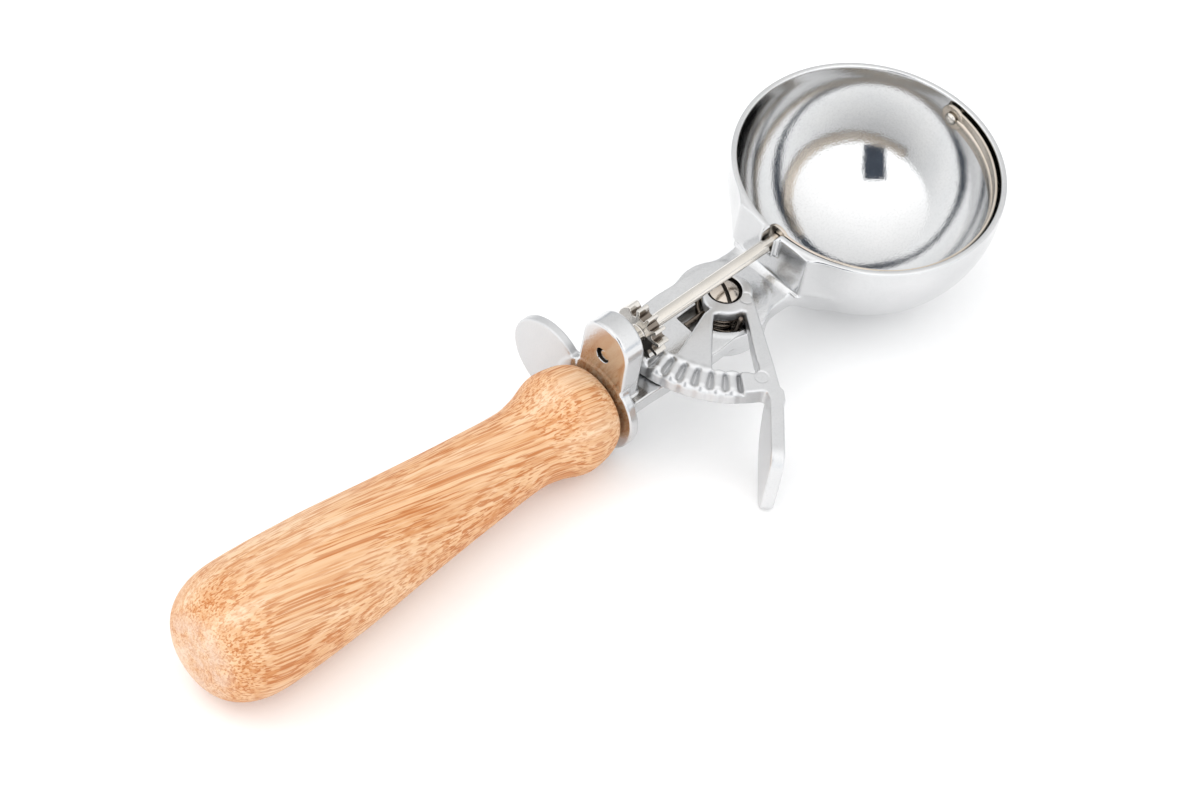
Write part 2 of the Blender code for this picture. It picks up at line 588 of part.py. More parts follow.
# --------------------------------------------------- screw, washers, spring
def make_screw():
    steel = principled("nickel_plated_screw", (0.70, 0.66, 0.60), 0.26, 1.0)
    profile = [(-18.0, 0.0), (-18.0, 1.15), (-13.15, 1.15), (-13.15, 2.05), (-10.8, 2.05),
               (-10.8, SCREW_HEAD_R), (-10.1, SCREW_HEAD_R), (-9.5, SCREW_HEAD_R - 0.45),
               (-9.1, SCREW_HEAD_R - 1.3), (-8.9, 1.0), (-8.85, 0.0)]
    screw = add_object("pivot_screw", turned(profile, (PIVOT_X, 0, 0), "Z", 32), steel,
                       origin=(PIVOT_X, 0, LEVER_TOP))
    a = math.radians(SLOT_ANGLE)
    u, v = Vector((math.cos(a), math.sin(a), 0)), Vector((-math.sin(a), math.cos(a), 0))
    pts = [Vector((PIVOT_X, 0, 0)) + u * s * 4.0 + v * t * 0.55
           for s, t in ((-1, -1), (1, -1), (1, 1), (-1, 1))]
    slot = prism([(p.x, p.y) for p in pts], -10.0, -7.0)
    combine(screw, add_object("screw_slot", slot, origin=(PIVOT_X, 0, LEVER_TOP), helper=True),
            "DIFFERENCE")
    return screw


SLOT_ANGLE = 67.5


def washer(name, color, x0, x1, r0, r1, centre, axis, steps=32):
    mat = principled(name + "_metal", color, 0.35, 1.0)
    bm = turned([(x0, r0), (x0, r1), (x1, r1), (x1, r0), (x0, r0)], centre, axis, steps)
    return add_object(name, bm, mat, origin=centre)


def make_spring():
    steel = principled("dark_spring_steel", (0.09, 0.07, 0.06), 0.4, 1.0)
    wire, mean = 0.6, 4.95
    start, end = 176.0, 208.0                 # where the two legs leave the coil
    turns, high, pitch = 2.0 + (end - start) / 360.0, -14.2, 1.35
    a0 = math.radians(start)
    # fixed leg, out of the coil's upper end into the bar's slot
    pts = [Vector((x, 0.40, high)) for x in (-52.9, -51.2, -49.5, -48.3)]
    n = int(turns * 22)
    for i in range(n + 1):
        a = a0 + 2 * math.pi * turns * i / n
        pts.append(Vector((PIVOT_X + mean * math.cos(a), mean * math.sin(a),
                           high - pitch * turns * i / n)))
    # moving leg: out of the coil's lower end, then up into the window beside the arm
    a1 = a0 + 2 * math.pi * turns
    last = pts[-1]
    tangent = Vector((-math.sin(a1), math.cos(a1), 0))
    for along, up in ((1.5, 0.0), (3.2, 0.25), (4.6, 1.3), (5.3, 3.0), (5.45, 6.0)):
        pts.append(last + tangent * along + Vector((0, 0, up)))
    curve = bpy.data.curves.new("return_spring", "CURVE")
    curve.dimensions = "3D"
    curve.bevel_depth = wire * MM
    curve.bevel_resolution = 2
    curve.use_fill_caps = True
    spline = curve.splines.new("POLY")
    spline.points.add(len(pts) - 1)
    origin = Vector((PIVOT_X, 0, LEVER_TOP))
    for point, p in zip(spline.points, pts):
        point.co = (*((p - origin) * MM), 1.0)
    obj = bpy.data.objects.new("return_spring", curve)
    SCENE.collection.objects.link(obj)
    obj.parent = ROOT
    obj.location = origin * MM
    curve.materials.append(steel)
    return obj


def make_stud():
    steel = principled("handle_stud_steel", (0.5, 0.5, 0.5), 0.4, 1.0)
    profile = [(-49.0, 0.0), (-49.0, 2.4), (-48.4, 2.9), (-0.5, 2.9), (-0.5, 2.5),
               (6.9, 2.5), (6.9, 0.0)]
    centre = (FLANGE_X, 0, HANDLE_AXIS_Z)
    return add_object("handle_stud", turned(profile, centre, "X", 20, HANDLE_TILT), steel,
                      origin=centre)


# -------------------------------------------------------------------- make it
def lay_down():
    """Lays the scoop on the plane that touches the bowl, the handle's belly
    and the paddle's lower edge, with the long axis along X, and puts the
    middle of its box over the origin."""
    tilt = math.radians(HANDLE_TILT)
    t = 0.87
    belly = Vector((FLANGE_X, 0, HANDLE_AXIS_Z)) + Vector(
        (-math.cos(tilt), 0, math.sin(tilt))) * (0.9 + t * HANDLE_LEN)
    belly_r = handle_radius(t)
    s, z, r = PADDLE_LOW_CORNER
    tip = (PADDLE_ROOT + PADDLE_DIR * s + Vector((0, 0, LEVER_TOP + z))
           + PADDLE_NORMAL * PADDLE_T * 0.5)
    bowl = Vector((0, 0, SHAFT_Z))
    normal = Vector((0, 0.17, 1)).normalized()
    for _ in range(60):
        # lowest points of the sphere, the belly and the paddle's round end
        axis = Vector((-math.cos(tilt), 0, math.sin(tilt)))
        across = (normal - axis * normal.dot(axis)).normalized()
        a = bowl - normal * BOWL_R
        b = belly - across * belly_r
        flat = (normal - PADDLE_NORMAL * normal.dot(PADDLE_NORMAL)).normalized()
        side = -1 if normal.dot(PADDLE_NORMAL) > 0 else 1
        c = tip - flat * r + PADDLE_NORMAL * side * PADDLE_T * 0.5
        normal = (b - a).cross(c - a).normalized()
        if normal.z < 0:
            normal = -normal
    x_axis = Vector((1, 0, 0))
    x_axis = (x_axis - normal * normal.dot(x_axis)).normalized()
    y_axis = normal.cross(x_axis)
    turn = Matrix((x_axis, y_axis, normal)).to_4x4()
    ROOT.matrix_world = turn
    bpy.context.view_layer.update()
    graph = bpy.context.evaluated_depsgraph_get()
    low, high = Vector((1e9,) * 3), Vector((-1e9,) * 3)
    for obj in SCENE.objects:
        if obj.type == "EMPTY" or obj.hide_render:
            continue
        evaluated = obj.evaluated_get(graph)
        mesh = evaluated.to_mesh()
        for v in mesh.vertices:
            p = evaluated.matrix_world @ v.co
            for k in range(3):
                low[k] = min(low[k], p[k])
                high[k] = max(high[k], p[k])
        evaluated.to_mesh_clear()
    move = Vector((-(low.x + high.x) / 2, -(low.y + high.y) / 2, -low.z))
    ROOT.matrix_world = Matrix.Translation(move) @ turn
    bpy.context.view_layer.update()


make_frame()
make_handle()
make_stud()
make_lever()
make_shaft()
make_pinion()
make_scraper()
make_far_rivet()
make_screw()
washer("hub_wear_washer", (0.66, 0.52, 0.30), -13.05, -12.55, 2.4, 4.6, (PIVOT_X, 0, 0), "Z")
washer("pinion_thrust_washer", (0.66, 0.60, 0.5), -73.75, -72.95, SHAFT_PIN_R + 0.15, 3.4,
       (0, 0, SHAFT_Z), "X", 24)
make_spring()
lay_down()
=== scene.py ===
"""Looks of the ice cream scoop: cast bowl and frame, lever, scraper and gears,
turned wooden handle, studio floor, light and camera.

Shapes are written in the design frame, in millimetres:
  origin  centre of the bowl's rim
  +X      from the handle to the bowl, along the scraper shaft
  +Y      towards the side of the fixed finger rest
  +Z      out of the mouth of the bowl
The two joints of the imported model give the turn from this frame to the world.
"""
import json
import math

import bmesh
import bpy
import numpy as np
from mathutils import Matrix, Vector

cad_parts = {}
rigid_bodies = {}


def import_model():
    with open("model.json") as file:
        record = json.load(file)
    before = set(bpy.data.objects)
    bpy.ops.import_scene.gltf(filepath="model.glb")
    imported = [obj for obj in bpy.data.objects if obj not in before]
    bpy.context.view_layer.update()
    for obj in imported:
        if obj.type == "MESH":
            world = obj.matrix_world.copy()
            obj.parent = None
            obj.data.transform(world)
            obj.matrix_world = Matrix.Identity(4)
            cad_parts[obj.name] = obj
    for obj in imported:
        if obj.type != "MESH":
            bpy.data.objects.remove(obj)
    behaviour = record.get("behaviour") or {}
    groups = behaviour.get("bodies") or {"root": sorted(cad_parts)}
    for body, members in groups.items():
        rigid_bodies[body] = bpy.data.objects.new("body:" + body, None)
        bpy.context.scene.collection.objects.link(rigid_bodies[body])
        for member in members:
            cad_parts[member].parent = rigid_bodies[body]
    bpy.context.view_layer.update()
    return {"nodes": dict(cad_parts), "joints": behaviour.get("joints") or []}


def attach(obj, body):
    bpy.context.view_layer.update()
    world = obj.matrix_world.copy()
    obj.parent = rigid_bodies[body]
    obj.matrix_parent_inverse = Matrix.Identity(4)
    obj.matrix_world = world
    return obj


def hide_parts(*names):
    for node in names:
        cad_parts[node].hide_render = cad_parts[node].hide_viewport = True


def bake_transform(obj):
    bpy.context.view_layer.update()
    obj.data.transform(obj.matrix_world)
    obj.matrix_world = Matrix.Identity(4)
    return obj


MM = 0.001

for old in list(bpy.data.objects):
    bpy.data.objects.remove(old, do_unlink=True)

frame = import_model()
NODES = frame["nodes"]
JOINTS = {j["name"]: j for j in frame["joints"]}
SCENE = bpy.context.scene


# ------------------------------------------------------------ the design frame
def design_matrix():
    """Design frame (metres) to world, from the lever's and the scraper's joints."""
    x = Vector(JOINTS["scraper_turn"]["axis"]).normalized()
    z = -Vector(JOINTS["lever_swing"]["axis"]).normalized()
    z = (z - x * z.dot(x)).normalized()
    y = z.cross(x)
    turn = Matrix((x, y, z)).transposed()
    place = Vector(JOINTS["scraper_turn"]["pos_m"]) - turn @ Vector((-0.05, 0.0, -0.0033))
    return Matrix.Translation(place) @ turn.to_4x4()


ROOT = design_matrix()

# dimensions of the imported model, in millimetres
BOWL_R, BOWL_WALL, SHAFT_Z = 30.2, 1.4, -3.3
SHAFT_R, SHAFT_NECK_R, SHAFT_PIN_R = 1.45, 1.2, 1.3
SHAFT_X = (-78.9, -66.0, -31.75, -28.15)
JOURNAL_HOLE_R, JOURNAL_HOLE_OFFSET = 1.75, (0.2, 0.32)
PINION_TEETH, PINION_BLANK, SECTOR_TEETH_FULL = 12, (-42.5, 47.5), 51
PINION_X, PINION_TIP_R, PINION_ROOT_R = (-69.3, -66.3), 6.15, 4.15
PINION_HUB = (-72.75, 1.95)
PIVOT_X, LEVER_TOP, LEVER_BOTTOM = -42.6, -8.0, -12.3
SECTOR_IN_R, SECTOR_OUT_R, TOOTH_ROOT_Z, LIP_Z = 23.2, 28.4, -9.8, -9.25
HUB_TOP, HUB_R, HUB_FAR_R = -9.4, 6.1, 4.7
SCREW_HEAD_R, HEAD_RECESS_R, RECESS_FLOOR = 3.45, 3.85, -11.1
PADDLE_T = 2.9
FLANGE_X, FLANGE_T, LUG_T = -79.5, 2.4, 5.4
HANDLE_AXIS_Z, LOBE_R = -18.9, 11.0
REST_R, REST_Y, REST_Z = 10.0, 14.5, -19.2
BAR_TOP, BAR_T, BAR_HALF = -12.7, 4.1, 8.7
CUP_R, POCKET_FLOOR, CUP_BOTTOM = 10.4, -18.2, -19.6
POCKET_R, POCKET_FAR_R, POST_R, POST_TOP, SLOT_FLOOR = 9.0, 6.0, 3.9, -13.35, -15.15
HANDLE_TILT, HANDLE_LEN, BUTT_FLAT_R = 3.85, 107.2, 4.6
SCRAPER_R, SCRAPER_HALF, SCRAPER_T, SCRAPER_PARK = 28.2, 3.2, 0.7, -3.0
TOOTH_0, SLOT_ANGLE = -0.6, 67.5
GRAIN_TURN = (-10.5, 7.5)   # of the wood's fibres about Y and Z, degrees


# ------------------------------------------------- distance fields and surfaces
def smin(a, b, k):
    h = np.maximum(k - np.abs(a - b), 0.0) / k
    return np.minimum(a, b) - h * h * k * 0.25


def smax(a, b, k):
    return -smin(-a, -b, k)


def slab(d2, w, low, high, r):
    """A 2-D distance, cut at low and high along w, with round edges."""
    dz = np.abs(w - (low + high) / 2) - (high - low) / 2
    a, b = d2 + r, dz + r
    return (np.minimum(np.maximum(a, b), 0.0)
            + np.hypot(np.maximum(a, 0.0), np.maximum(b, 0.0)) - r)


def outline_distance(points, x, y):
    """Signed distance to a closed outline: negative inside."""
    pts = np.array(points, float)
    best = np.full(x.shape, 1e9)
    inside = np.zeros(x.shape, bool)
    for (ax, ay), (bx, by) in zip(pts, np.roll(pts, -1, axis=0)):
        ex, ey = bx - ax, by - ay
        length = ex * ex + ey * ey
        if length < 1e-12:
            continue
        px, py = x - ax, y - ay
        t = np.clip((px * ex + py * ey) / length, 0.0, 1.0)
        best = np.minimum(best, (px - ex * t) ** 2 + (py - ey * t) ** 2)
        if ay != by:
            crosses = (ay > y) != (by > y)
            inside ^= crosses & (x < ax + ex * (y - ay) / (by - ay))
    d = np.sqrt(best)
    return np.where(inside, -d, d)


class Outline:
    """A closed outline's distance as a fine table, a little softened so that
    its corners are cast corners, and read between the table's points."""

    def __init__(self, points, step=0.1, soften=0.12, margin=4.0):
        pts = np.array(points, float)
        self.low = pts.min(0) - margin
        high = pts.max(0) + margin
        n = np.ceil((high - self.low) / step).astype(int) + 1
        self.step = step
        xs = self.low[0] + np.arange(n[0]) * step
        ys = self.low[1] + np.arange(n[1]) * step
        gx, gy = np.meshgrid(xs, ys, indexing="ij")
        table = outline_distance(pts, gx, gy)
        if soften > 0:
            k = int(math.ceil(3 * soften / step))
            w = np.exp(-0.5 * (np.arange(-k, k + 1) * step / soften) ** 2)
            w /= w.sum()
            for axis in (0, 1):
                pad = [(k, k) if a == axis else (0, 0) for a in (0, 1)]
                wide = np.pad(table, pad, mode="edge")
                size = table.shape[axis]
                table = sum(wi * (wide[i:i + size] if axis == 0 else wide[:, i:i + size])
                            for i, wi in enumerate(w))
        self.table = table

    def __call__(self, x, y):
        fx = (x - self.low[0]) / self.step
        fy = (y - self.low[1]) / self.step
        nx, ny = self.table.shape
        cx, cy = np.clip(fx, 0, nx - 1.001), np.clip(fy, 0, ny - 1.001)
        i, j = cx.astype(int), cy.astype(int)
        u, v = cx - i, cy - j
        t = self.table
        d = ((t[i, j] * (1 - u) + t[i + 1, j] * u) * (1 - v)
             + (t[i, j + 1] * (1 - u) + t[i + 1, j + 1] * u) * v)
        return d + np.hypot(fx - cx, fy - cy) * self.step


def surface(field, low, high, h, steps=4, eps=0.04):
    """The zero surface of a distance field as quads: one point per grid cell
    that the surface crosses, moved onto the surface."""
    low, high = np.array(low, float), np.array(high, float)
    c = 5
    n = (np.ceil((high - low) / (h * c)).astype(int)) * c
    big = h * c
    nb = n // c
    centres = [low[a] + (np.arange(nb[a]) + 0.5) * big - h / 2 for a in range(3)]
    grid = np.stack(np.meshgrid(*centres, indexing="ij"), -1).reshape(-1, 3)
    coarse = field(grid).reshape(nb)
    values = np.repeat(np.repeat(np.repeat(np.where(coarse < 0, -9.0, 9.0), c, 0), c, 1), c, 2)
    near = np.argwhere(np.abs(coarse) < big * 0.87 * 1.25 + h * 1.5)
    offsets = np.stack(np.meshgrid(*[np.arange(c)] * 3, indexing="ij"), -1).reshape(-1, 3)
    for start in range(0, len(near), 4000):
        index = (near[start:start + 4000, None, :] * c + offsets[None]).reshape(-1, 3)
        values[index[:, 0], index[:, 1], index[:, 2]] = field(low + index * h)
    inside = values < 0
    corners = [(i, j, k) for i in (0, 1) for j in (0, 1) for k in (0, 1)]
    m = np.array(values.shape) - 1

    def block(array, corner):
        return array[corner[0]:corner[0] + m[0], corner[1]:corner[1] + m[1],
                     corner[2]:corner[2] + m[2]]
    count = sum(block(inside, q).astype(np.int8) for q in corners)
    cells = np.argwhere((count > 0) & (count < 8))
    number = np.full(m, -1, np.int64)
    number[tuple(cells.T)] = np.arange(len(cells))
    total, weight = np.zeros((len(cells), 3)), np.zeros(len(cells))
    for q in corners:
        for axis in range(3):
            if q[axis]:
                continue
            p = list(q)
            p[axis] = 1
            a = values[tuple((cells + q).T)]
            b = values[tuple((cells + p).T)]
            cross = (a < 0) != (b < 0)
            t = np.where(cross, a / np.where(cross, a - b, 1.0), 0.0)
            point = np.tile(np.array(q, float), (len(cells), 1))
            point[:, axis] = t
            total += point * cross[:, None]
            weight += cross
    verts = low + (cells + total / weight[:, None]) * h
    quads = []
    for axis in range(3):
        u, v = (axis + 1) % 3, (axis + 2) % 3
        a = inside[tuple(slice(0, -1) if k == axis else slice(1, -1) for k in range(3))]
        b = inside[tuple(slice(1, None) if k == axis else slice(1, -1) for k in range(3))]
        for flip in (False, True):
            hit = np.argwhere((a & ~b) if not flip else (~a & b))
            for k in (u, v):
                hit[:, k] += 1
            ring = []
            for du, dv in ((1, 1), (0, 1), (0, 0), (1, 0)):
                cell = hit.copy()
                cell[:, u] -= du
                cell[:, v] -= dv
                ring.append(number[tuple(cell.T)])
            quad = np.stack(ring, 1)
            quads.append(quad[:, ::-1] if flip else quad)
    quads = np.concatenate(quads)
    quads = quads[(quads >= 0).all(1)]

    def gradient(p):
        g = np.empty_like(p)
        for k in range(3):
            d = np.zeros(3)
            d[k] = eps
            g[:, k] = (field(p + d) - field(p - d)) / (2 * eps)
        return g
    for step in range(steps):
        if step:      # even the points out along the surface, then bring them back to it
            mean, times = np.zeros_like(verts), np.zeros(len(verts))
            for i in range(4):
                for j in ((i + 1) % 4, (i + 3) % 4):
                    for k in range(3):
                        mean[:, k] += np.bincount(quads[:, i], verts[quads[:, j], k], len(verts))
                    times += np.bincount(quads[:, i], minlength=len(verts))
            move = mean / np.maximum(times, 1)[:, None] - verts
            move -= unit * (move * unit).sum(1)[:, None]
            verts = verts + move * 0.5
        g = gradient(verts)
        size = np.linalg.norm(g, axis=1)
        unit = g / np.maximum(size, 1e-6)[:, None]
        push = np.clip(field(verts) / np.maximum(size, 0.35), -0.5 * h, 0.5 * h)
        verts = verts - unit * push[:, None]
    g = gradient(verts)
    unit = g / np.maximum(np.linalg.norm(g, axis=1), 1e-6)[:, None]
    return verts, quads, unit


# ------------------------------------------------------------ objects and pieces
def place(obj, body, slot, *nodes):
    """A piece that moves with its body and shows one or more nodes of the model."""
    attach(obj, body)
    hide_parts(*nodes)
    return obj


def mesh_object(name, verts, faces, material, normals=None):
    """verts in design millimetres; faces of one size as an array, or a list. The
    mesh is written in world metres."""
    mesh = bpy.data.meshes.new(name)
    turn = np.array(ROOT.to_3x3())
    verts = np.array([tuple(v) for v in verts], float) * MM @ turn.T + np.array(ROOT.translation)
    if isinstance(faces, np.ndarray):
        k = faces.shape[1]
        mesh.vertices.add(len(verts))
        mesh.vertices.foreach_set("co", verts.astype(np.float32).ravel())
        mesh.loops.add(faces.size)
        mesh.loops.foreach_set("vertex_index", faces.astype(np.int32).ravel())
        mesh.polygons.add(len(faces))
        mesh.polygons.foreach_set("loop_start", np.arange(0, faces.size, k, dtype=np.int32))
        mesh.update(calc_edges=True)
    else:
        mesh.from_pydata(verts.tolist(), [], faces)
        mesh.update()
    mesh.shade_smooth()
    if normals is not None:
        mesh.normals_split_custom_set_from_vertices((normals @ turn.T).tolist())
    obj = bpy.data.objects.new(name, mesh)
    SCENE.collection.objects.link(obj)
    mesh.materials.append(material)
    return obj


def bmesh_object(name, bm, material, smooth=30):
    bmesh.ops.recalc_face_normals(bm, faces=bm.faces)
    bm.transform(ROOT @ Matrix.Scale(MM, 4))
    mesh = bpy.data.meshes.new(name)
    bm.to_mesh(mesh)
    bm.free()
    mesh.shade_smooth()
    mesh.set_sharp_from_angle(angle=math.radians(smooth))
    obj = bpy.data.objects.new(name, mesh)
    SCENE.collection.objects.link(obj)
    mesh.materials.append(material)
    return obj


def turned(profile, centre=(0, 0, 0), axis="Z", steps=96, tilt=None):
    """A profile of (along, radius) points turned about an axis."""
    bm = bmesh.new()
    verts = [bm.verts.new((r, 0, a)) for a, r in profile]
    edges = [bm.edges.new((verts[i], verts[i + 1])) for i in range(len(verts) - 1)]
    bmesh.ops.spin(bm, geom=verts + edges, cent=(0, 0, 0), axis=(0, 0, 1),
                   angle=2 * math.pi, steps=steps, use_duplicate=False)
    bmesh.ops.remove_doubles(bm, verts=bm.verts, dist=1e-4)
    if axis == "X":
        bm.transform(Matrix(((0, 0, 1), (0, 1, 0), (-1, 0, 0))).to_4x4())
    if tilt is not None:
        bm.transform(Matrix.Rotation(math.radians(tilt), 4, "Y"))
    bmesh.ops.translate(bm, verts=bm.verts, vec=Vector(centre))
    return bm


def rounded(profile, radius, n=4):
    """The profile's inner corners replaced by short arcs."""
    out = [profile[0]]
    for a, b, c in zip(profile, profile[1:], profile[2:]):
        a, b, c = (np.array(p, float) for p in (a, b, c))
        la, lc = np.linalg.norm(a - b), np.linalg.norm(c - b)
        r = min(radius, la * 0.45, lc * 0.45)
        p, q = b + (a - b) / la * r, b + (c - b) / lc * r
        for i in range(n + 1):
            t = i / n
            out.append(tuple((1 - t) ** 2 * p + 2 * t * (1 - t) * b + t * t * q))
    out.append(profile[-1])
    return [tuple(p) for p in out]


# -------------------------------------------------------------------- materials
class Nodes:
    """Short hand for a material's nodes."""

    def __init__(self, name):
        self.mat = bpy.data.materials.new(name)
        self.mat.use_nodes = True
        self.tree = self.mat.node_tree
        self.bsdf = self.tree.nodes["Principled BSDF"]
        self.design = None

    def new(self, kind, **values):
        node = self.tree.nodes.new(kind)
        for key, value in values.items():
            if key.startswith("in_"):
                node.inputs[key[3:].replace("_", " ")].default_value = value
            else:
                setattr(node, key, value)
        return node

    def link(self, a, b):
        self.tree.links.new(a, b)

    def coords(self, scale=(1, 1, 1), rotation=(0, 0, 0), location=(0, 0, 0)):
        """Design-frame coordinates in metres, then scaled, turned and moved."""
        if self.design is None:
            tc = self.new("ShaderNodeTexCoord")
            back = ROOT.inverted()
            mp = self.new("ShaderNodeMapping")
            mp.inputs["Rotation"].default_value = back.to_euler()
            mp.inputs["Location"].default_value = back.translation
            self.link(tc.outputs["Object"], mp.inputs["Vector"])
            self.design = mp.outputs["Vector"]
        mp = self.new("ShaderNodeMapping")
        mp.inputs["Scale"].default_value = scale
        mp.inputs["Rotation"].default_value = rotation
        mp.inputs["Location"].default_value = location
        self.link(self.design, mp.inputs["Vector"])
        return mp.outputs["Vector"]

    def noise(self, vector, scale, detail=3.0, rough=0.5, distortion=0.0):
        node = self.new("ShaderNodeTexNoise")
        node.inputs["Scale"].default_value = scale
        node.inputs["Detail"].default_value = detail
        node.inputs["Roughness"].default_value = rough
        node.inputs["Distortion"].default_value = distortion
        self.link(vector, node.inputs["Vector"])
        return node.outputs["Fac"]

    def ramp(self, fac, stops, mode="LINEAR"):
        node = self.new("ShaderNodeValToRGB")
        node.color_ramp.interpolation = mode
        el = node.color_ramp.elements
        while len(el) > len(stops):
            el.remove(el[-1])
        while len(el) < len(stops):
            el.new(0.5)
        for e, (pos, col) in zip(el, stops):
            e.position = pos
            e.color = (*col, 1.0) if isinstance(col, tuple) else (col, col, col, 1.0)
        self.link(fac, node.inputs["Fac"])
        return node.outputs["Color"]

    def range(self, value, a, b, c, d):
        node = self.new("ShaderNodeMapRange")
        for key, v in (("From Min", a), ("From Max", b), ("To Min", c), ("To Max", d)):
            node.inputs[key].default_value = v
        self.link(value, node.inputs["Value"])
        return node.outputs["Result"]

    def math(self, op, a, b=0.5):
        node = self.new("ShaderNodeMath", operation=op)
        for i, v in enumerate((a, b)):
            if isinstance(v, (int, float)):
                node.inputs[i].default_value = v
            else:
                self.link(v, node.inputs[i])
        return node.outputs["Value"]

    def mix(self, fac, a, b, mode="MIX"):
        node = self.new("ShaderNodeMix", data_type="RGBA", blend_type=mode)
        for key, v in ((0, fac), (6, a), (7, b)):
            if isinstance(v, (int, float)):
                node.inputs[key].default_value = v
            elif isinstance(v, tuple):
                node.inputs[key].default_value = (*v, 1.0)
            else:
                self.link(v, node.inputs[key])
        return node.outputs[2]

    def bump(self, height, strength, distance, before=None):
        node = self.new("ShaderNodeBump")
        node.inputs["Strength"].default_value = strength
        node.inputs["Distance"].default_value = distance
        self.link(height, node.inputs["Height"])
        if before is not None:
            self.link(before, node.inputs["Normal"])
        return node.outputs["Normal"]


def metal(name, color, tint, rough, fine_size=0.3, fine_depth=0.02, wave_size=1.6,
          wave_depth=0.02, dull=0.10, streak=None, streak_depth=0.01):
    """Metal with tumbled grain and soft patches. Sizes and depths in millimetres."""
    m = Nodes(name)
    at = m.coords()
    patch = m.noise(at, 90.0, 3.0, 0.55)
    fine = m.noise(at, 1000.0 / fine_size, 2.0, 0.6)
    wave = m.noise(at, 1000.0 / wave_size, 2.0, 0.5)
    tone = m.ramp(patch, [(0.3, color), (0.7, tint)])
    speck = m.ramp(fine, [(0.25, 0.94), (0.55, 1.0)])
    m.link(m.mix(1.0, tone, speck, "MULTIPLY"), m.bsdf.inputs["Base Color"])
    r = m.range(patch, 0.3, 0.7, rough * (1 - dull), rough * (1 + dull))
    r2 = m.range(fine, 0.3, 0.7, -0.15 * rough, 0.15 * rough)
    m.link(m.math("ADD", r, r2), m.bsdf.inputs["Roughness"])
    m.bsdf.inputs["Metallic"].default_value = 1.0
    normal = m.bump(fine, 1.0, fine_depth * MM)
    normal = m.bump(wave, 1.0, wave_depth * MM, normal)
    if streak:
        lines = m.noise(m.coords(scale=streak), 1.0, 4.0, 0.6)
        normal = m.bump(lines, 1.0, streak_depth * MM, normal)
    m.link(normal, m.bsdf.inputs["Normal"])
    return m.mat


CAST = metal("polished_casting", (0.65, 0.655, 0.66), (0.70, 0.70, 0.705), 0.19, 0.5, 0.016,
             2.4, 0.02)
BOWL = metal("burnished_bowl", (0.70, 0.705, 0.71), (0.74, 0.74, 0.74), 0.070, 0.45, 0.013,
             2.4, 0.010)
LEVER = metal("lever_casting", (0.66, 0.665, 0.67), (0.72, 0.72, 0.725), 0.36, 0.5, 0.020,
              1.8, 0.012)
AS_CAST = metal("dull_casting", (0.63, 0.635, 0.64), (0.68, 0.68, 0.685), 0.40, 0.5, 0.020,
                2.0, 0.02)
# painted shade: a darker metal laid in the gaps between the pinion's teeth
GAP_SHADE = metal("painted_gap_shade", (0.20, 0.17, 0.145), (0.30, 0.26, 0.22), 0.35, 0.3, 0.01)
# painted shade: a near-black metal laid on bores, recesses and a shaded side, where light does not
# reach
PAINTED_SHADE = metal("painted_shade_dark", (0.05, 0.045, 0.04), (0.09, 0.08, 0.07), 0.45, 0.3, 0.01)
NICKEL = metal("nickel_plate", (0.66, 0.63, 0.58), (0.74, 0.71, 0.67), 0.17, 0.3, 0.010)
SCRAPER = metal("nickel_scraper", (0.60, 0.53, 0.45), (0.68, 0.62, 0.55), 0.20, 0.3, 0.012)
SPRING = metal("dark_spring_wire", (0.17, 0.14, 0.115), (0.27, 0.23, 0.19), 0.28, 0.2, 0.01)
BRASS = metal("washer_brass", (0.62, 0.48, 0.26), (0.70, 0.56, 0.34), 0.32, 0.2, 0.01)
STUD = metal("stud_steel", (0.45, 0.45, 0.45), (0.52, 0.52, 0.51), 0.38, 0.2, 0.01)


